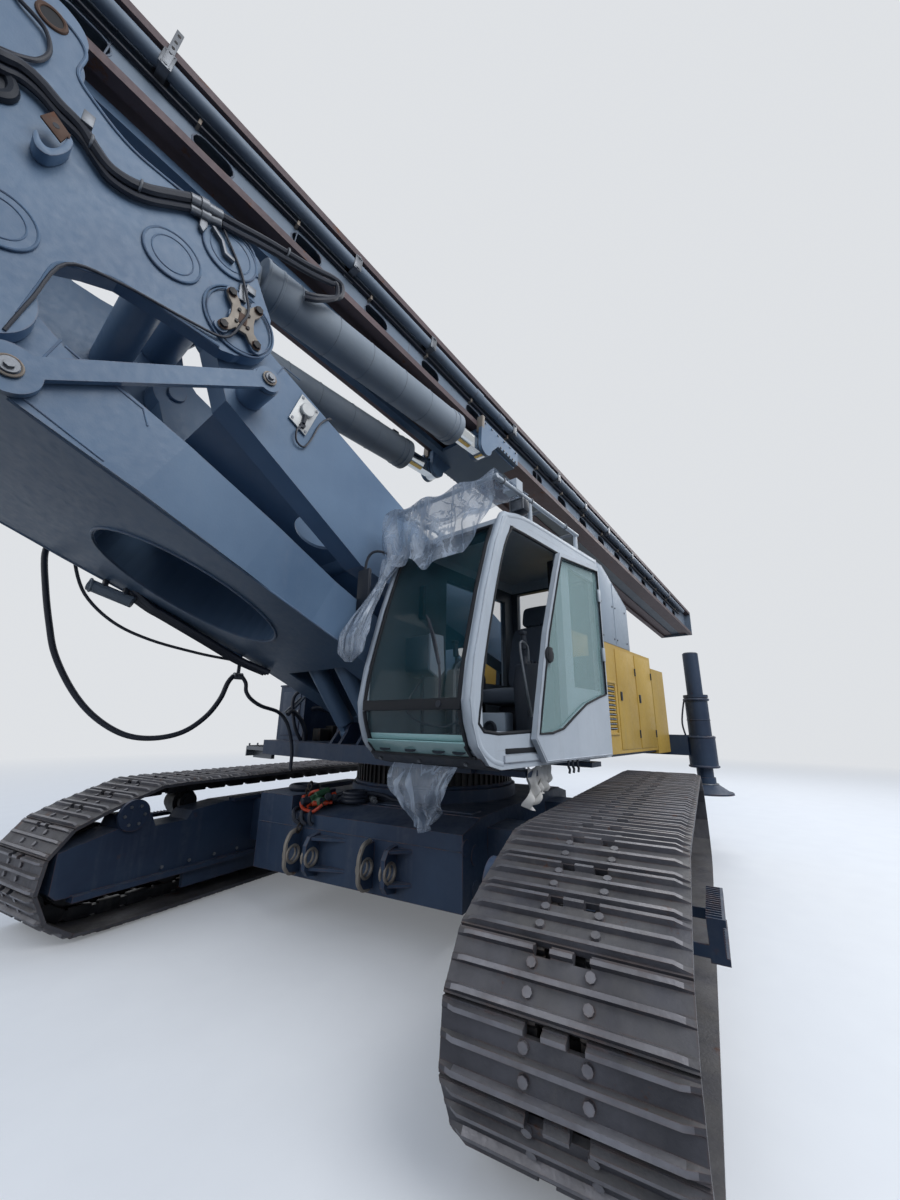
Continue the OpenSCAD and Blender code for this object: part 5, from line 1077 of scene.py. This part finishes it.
# undercarriage: rusty lug rims, box seams and covers, frame bolts, step treads
lugs = {"out": 1.485, "up": 0.565, "radius": 0.066, "places": (-0.52, -0.31, 0.27, 0.49)}
rims = [hoop((lugs["out"], y + s * 0.02, lugs["up"]), lugs["radius"], 0.012, tracksFrame)
        for y in lugs["places"] for s in (-1, 1)]
lugEdge = [(1.43, 0.41), (1.5, 0.425), (1.548, 0.48), (1.552, 0.565), (1.55, 0.65), (1.505, 0.725),
           (1.43, 0.745)]
rims += [pipe(atSide(y, lugEdge), 0.02, tracksFrame) for y in (-0.52, 0.27)]
chain = []
for k in range(7):
    at = Vector((1.44 - 0.028 * k, -0.5 - 0.014 * k, 0.76 + 0.052 * k))
    link = hoop((0, 0, 0), 0.034, 0.009, Matrix(), "Y", 14)
    link.data.transform(Matrix.Diagonal((0.72, 1, 1.15, 1)))
    twist = Matrix.Rotation(math.radians(90 * (k % 2)), 4, "Z") @ Matrix.Rotation(math.radians(-25), 4, "Y")
    chain.append(settle(link, tracksFrame @ Matrix.Translation(at) @ twist))
boxSeams = [pipe([(1.402, -1.06, 0.756), (1.402, 1.06, 0.756)], 0.004, tracksFrame, 1),
            pipe([(1.3, -0.63, 0.9), (1.401, -0.65, 0.76)], 0.006, tracksFrame, 1)]
covers = [rod((x, y, h), (x, y + thick, h), radius, tracksFrame, 28) for x, y, h, thick, radius in (
    (1.36, 1.07, 0.78, 0.015, 0.058), (1.2, 1.07, 0.7, 0.012, 0.07), (1.2, 1.07, 0.47, 0.012, 0.06),
    (1.2, -1.07, 0.7, -0.012, 0.07))]
topPlates = [block((0.86, -0.2, 0.938), (1.05, 0.55, 0.95), tracksFrame, 0.004),
             block((0.88, 0.62, 0.938), (1.04, 0.98, 0.952), tracksFrame, 0.004)]
topBolts = bolts([(0.9, y, 0.95) for y in (-0.12, 0.1, 0.3, 0.48)], (0, 0, 1), 0.016, 0.012, tracksFrame)
dressed("boxDetails", "chassis", "frame_paint", 30, wornClamp=rims, darkCast=chain,
        framePaint=boxSeams + covers + topPlates, fittingSteel=topBolts)
beamBolts, treads = [], []
for s in (-1, 1):
    inward = (0, -s, 0)
    beamSpots = [
        (x + d, s * 1.66, h) for x in (-0.76, 0.76) for d in (-0.17, 0.17) for h in (0.5, 0.64, 0.78)]
    hubSpots = [(2.2 + 0.08 * math.cos(a), s * 1.655, 0.86 + 0.08 * math.sin(a))
                for a in (k * math.pi / 3 for k in range(6))]
    beamBolts += bolts(beamSpots, inward, 0.022, 0.02, tracksFrame)
    beamBolts += bolts(spread((-1.1, s * 1.65, 0.4), (1.9, s * 1.65, 0.4), 13), inward, 0.015, 0.01,
                       tracksFrame)
    beamBolts += bolts(hubSpots, inward, 0.013, 0.012, tracksFrame)
    near, far = sorted((s * 2.585, s * 2.66))
    treads += [block((1.03 + 0.036 * k, near, h), (1.038 + 0.036 * k, far, h + 0.008), tracksFrame, 0)
               for k in range(15) for h in (0.515, 0.685)]
dressed("frameDetails", "chassis", "frame_paint", 30, fittingSteel=beamBolts, framePaint=treads)

# quick couplers left lying on the front box
pile = {"middle": (1.25, -0.47, 0.925), "spread": (0.14, 0.17), "count": 18,
        "finishes": ("orangePlastic", "hoseRubber", "hoseRubber", "greenPlastic", "orangePlastic",
                     "hoseRubber")}
pileParts = {"hoseRubber": [], "orangePlastic": [], "fittingSteel": [], "greenPlastic": []}
for k in range(pile["count"]):
    a, reach = k * 2.4, 0.3 + 0.7 * k / pile["count"]
    along, across = pile["spread"][0] * reach * math.cos(a), pile["spread"][1] * reach * math.sin(a)
    spot = Vector(pile["middle"]) + Vector((along, across, 0.03 + 0.035 * ((k * 5) % 4) * (1.1 - reach)))
    aim = Vector((math.cos(a * 1.7), math.sin(a * 1.7), 0.3 * ((k % 3) - 1))) * 0.065
    finish = pile["finishes"][k % 6]
    thick = 0.022 if finish == "orangePlastic" else 0.032
    pileParts[finish].append(rod(spot - aim, spot + aim, thick, tracksFrame, 14, 0.005))
    pileParts[finish].append(rod(spot + aim, spot + aim * 1.6, thick * 0.6, tracksFrame, 12, 0))
pileParts["greenPlastic"].append(
    rod((1.33, -0.45, 0.96), (1.35, -0.34, 0.965), 0.042, tracksFrame, 20, 0.008))
straps = (((1.36, -0.58, 0.93), (1.4, -0.55, 0.95), (1.42, -0.5, 0.91), (1.4, -0.42, 0.89),
           (1.41, -0.37, 0.9), (1.37, -0.32, 0.95)),
          ((1.3, -0.56, 0.98), (1.33, -0.5, 1.03), (1.3, -0.44, 1.05)))
pileParts["orangePlastic"] += [pipe(line, 0.014, tracksFrame, 3) for line in straps]
pileParts["hoseRubber"] += [pipe([(1.36, -0.62 + 0.1 * k, 0.9), (1.425, -0.6 + 0.1 * k, 0.88),
                                  (1.44, -0.57 + 0.09 * k, 0.82), (1.42, -0.53 + 0.08 * k, 0.79)], 0.018,
                                 tracksFrame, 3) for k in range(3)]
pileParts["hoseRubber"] += [pipe([(1.2, -0.42 + 0.1 * k, 0.96), (1.08 - 0.02 * k, -0.3 + 0.09 * k, 1.02),
                                  (0.95, -0.15 + 0.08 * k, 1.0), (0.92, 0.02 + 0.05 * k, 0.965),
                                  (0.87, 0.15 + 0.04 * k, 0.955)], 0.02, tracksFrame) for k in range(3)]
pileParts["hoseRubber"] += [
    hoop((1.08, -0.2, 0.965 + 0.03 * k), 0.12 - 0.012 * k, 0.018, tracksFrame, "Z", 22) for k in range(3)]
pileParts["fittingSteel"] += [rod(a, b, radius, tracksFrame, sides) for a, b, radius, sides in (
    ((0.98, -0.1, 0.975), (1.06, 0.0, 0.975), 0.03, 16), ((1.06, 0.0, 0.975), (1.1, 0.05, 0.97), 0.02, 12),
    ((1.16, -0.6, 0.98), (1.26, -0.57, 1.0), 0.026, 16))]
dressed("couplerPile", "chassis", "hose_rubber", 30, **pileParts)
print("undercarriage dressed")


# films and rags: grids bent to shape, thin as the real ones
def between(line, value):  # reads a line of (place, height) pairs
    for (a, x), (b, y) in zip(line, line[1:]):
        if value <= b:
            share = max(0.0, (value - a) / (b - a))
            return x + (y - x) * share
    return line[-1][1]


def crumple(s, t, waves, depth):  # creases that run down the fall
    return depth * (math.sin(waves * 6.3 * s + 2.1 * math.sin(4 * t)) * 0.6
                    + math.sin(waves * 11 * s + 5 * t + 1) * 0.25 + math.sin(17 * t + 9 * s) * 0.15)


def drape(name, shape, across, along, flat, finish):  # one sheet that rides the house
    bpy.ops.object.select_all(action="DESELECT")
    bpy.ops.mesh.primitive_grid_add(x_subdivisions=across, y_subdivisions=along, size=1)
    piece = bpy.context.object
    for corner in piece.data.vertices:
        corner.co = houseFrame @ Vector(shape(corner.co.x + 0.5, corner.co.y + 0.5))
    area = sum(face.area for face in piece.data.polygons)
    skin = piece.modifiers.new("skin", "SOLIDIFY")
    skin.thickness = 0.0012
    bpy.ops.object.modifier_apply(modifier=skin.name)
    coat(piece, finish)
    joined(name, [piece], "house", 60)
    print("sheet", name, "area", round(area, 3), "flat", round(flat[0] * flat[1], 3))


screenAt = sorted((z, u) for u, z in screenLine)


def roofFilm(s, t):
    y = 0.83 + 1.13 * s
    low = between([(0, 3.0), (0.15, 2.82), (0.32, 2.86), (0.5, 2.74), (0.78, 2.78), (1, 3.12)], s)
    top, turn = 0.42, 0.36
    if t < turn:
        along = t / turn
        return (1.16 + top * along, y,
                3.374 - 0.05 * math.sin(math.pi * s) * math.sin(math.pi * along)
                + 0.5 * crumple(s, t, 3, 0.02))
    fall = (t - turn) / (1 - turn)
    z = 3.378 - (3.378 - low) * fall + 0.02 * math.sin(20 * s)
    bulge = 0.02 + 0.05 * fall + crumple(s, t, 4, 0.035) * min(1, fall * 3)
    return (max(1.61, between(screenAt, z) + 0.012) + max(0.0, bulge), y + 0.03 * fall * math.sin(9 * s), z)


def filmTail(s, t):
    u = between([(0, 1.64), (0.3, 1.76), (0.6, 1.87), (0.8, 1.93), (1, 1.94)], t)
    y = between([(0, 0.99), (0.3, 0.95), (0.6, 0.9), (0.8, 0.87), (1, 0.875)], t)
    half = between([(0, 0.1), (0.25, 0.035), (0.5, 0.06), (0.75, 0.11), (0.92, 0.1), (1, 0.03)], t)
    turn = 2 * math.pi * s * 0.96
    fold = 1 + 0.22 * math.sin(5 * turn + 6 * t) + 0.1 * math.sin(11 * turn)
    return (u + 0.6 * half * fold * math.cos(turn), y + half * fold * math.sin(turn), 2.93 - 0.86 * t)


def underFilm(s, t):
    y = 1.14 + 0.56 * s + (0.5 - s) * 0.38 * t * t
    z = 1.385 - 0.4 * t * (0.8 + 0.2 * math.sin(math.pi * s))
    return (1.7 + 0.07 * math.sin(math.pi * min(1, t * 1.2)) + crumple(s, t, 3, 0.035) * (0.3 + t), y, z)


def ragLeft(s, t):
    return (1.17 - 0.2 * s + 0.02 * math.sin(8 * t), 1.87 + crumple(s, t, 2, 0.035) * (0.4 + t),
            1.375 - 0.25 * t - 0.03 * math.sin(5 * s))


def ragRight(s, t):
    return (0.97 - 0.16 * s + 0.05 * t, 1.86 + crumple(s, t, 2, 0.03) * (0.4 + t),
            1.375 - 0.2 * t + 0.03 * s)


drape("roofFilm", roofFilm, 64, 56, (1.3, 1.15), "clearFilm")
drape("filmTail", filmTail, 48, 40, (0.5, 0.9), "clearFilm")
drape("underFilm", underFilm, 48, 32, (0.6, 0.45), "clearFilm")
drape("ragLeft", ragLeft, 24, 24, (0.25, 0.3), "whiteRag")
drape("ragRight", ragRight, 20, 20, (0.2, 0.25), "whiteRag")
print("films hung")


# stage and light
def seenRays(tree):  # 1 for what the eye, a gloss or a pane looks at, 0 for light that falls on the object
    rays = addNode(tree, "LightPath").outputs
    glossy = addNode(tree, "Math", {"operation": "MAXIMUM"},
                     {0: rays["Is Camera Ray"], 1: rays["Is Glossy Ray"]}).outputs[0]
    return addNode(tree, "Math", {"operation": "MAXIMUM"},
                   {0: glossy, 1: rays["Is Transmission Ray"]}).outputs[0]


backdropLook = {"Color": hexColour("#eef1f5"), "Strength": 0.86}
bpy.ops.object.select_all(action="DESELECT")
bpy.ops.mesh.primitive_plane_add(size=400, location=(0, 0, -0.002))
floor = bpy.context.object
floor.name = "floor"
floorFinish, tree, shader, place = newMaterial("paleFloor")
grain = addNode(tree, "TexNoise", {"Scale": 3.0, "Detail": 4.0}, {"Vector": place}).outputs["Fac"]
pale = addNode(tree, "MixRGB", {"Color1": hexColour("#dfe1e3"), "Color2": hexColour("#d7d9dc")},
               {"Fac": grain})
tree.links.new(pale.outputs["Color"], shader.inputs["Base Color"])
shader.inputs["Roughness"].default_value = 0.9
shader.inputs["Emission Color"].default_value = backdropLook["Color"]
shader.inputs["Emission Strength"].default_value = 0.16  # only the eye and reflections see this branch
# the floor throws back as little light as the dark gravel that the machine stands on
dim = addNode(tree, "BsdfDiffuse", {"Color": hexColour("#404144")})
# far out the floor turns into the backdrop, so that no horizon line shows
away = addNode(tree, "VectorMath", {"operation": "LENGTH"}, {0: place}).outputs["Value"]
fade = addNode(tree, "MapRange", {"From Min": 6.0, "From Max": 24.0}, {"Value": away}).outputs["Result"]
haze = addNode(tree, "Emission", backdropLook)
ground = addNode(tree, "MixShader", None, {0: fade, 1: shader.outputs[0], 2: haze.outputs[0]})
mixed = addNode(tree, "MixShader", None, {0: seenRays(tree), 1: dim.outputs[0], 2: ground.outputs[0]})
tree.links.new(mixed.outputs[0], tree.nodes["Material Output"].inputs["Surface"])
floor.data.materials.append(floorFinish)

world = bpy.data.worlds.new("paleRoom")
bpy.context.scene.world = world
world.use_nodes = True
tree = world.node_tree
sky = tree.nodes["Background"]
sky.inputs["Color"].default_value = hexColour("#c9d8ee")
sky.inputs["Strength"].default_value = 0.7
backdrop = addNode(tree, "Background", backdropLook)
mixed = addNode(tree, "MixShader", None, {0: seenRays(tree), 1: sky.outputs[0], 2: backdrop.outputs[0]})
tree.links.new(mixed.outputs[0], tree.nodes["World Output"].inputs["Surface"])
# lamps as (place, power, size)
lamps = {"key": ((6, 9, 11), 900, 8), "fill": ((14, -6, 8), 330, 9), "back": ((-10, 4, 12), 900, 9)}
for name, (place, power, size) in lamps.items():
    lamp = bpy.data.objects.new(name, bpy.data.lights.new(name, "AREA"))
    lamp.data.energy, lamp.data.size = power, size
    lamp.location = place
    lamp.rotation_euler = (Vector((1, 0, 2)) - Vector(place)).to_track_quat("-Z", "Y").to_euler()
    bpy.context.collection.objects.link(lamp)
bpy.context.scene.view_settings.view_transform = "Standard"
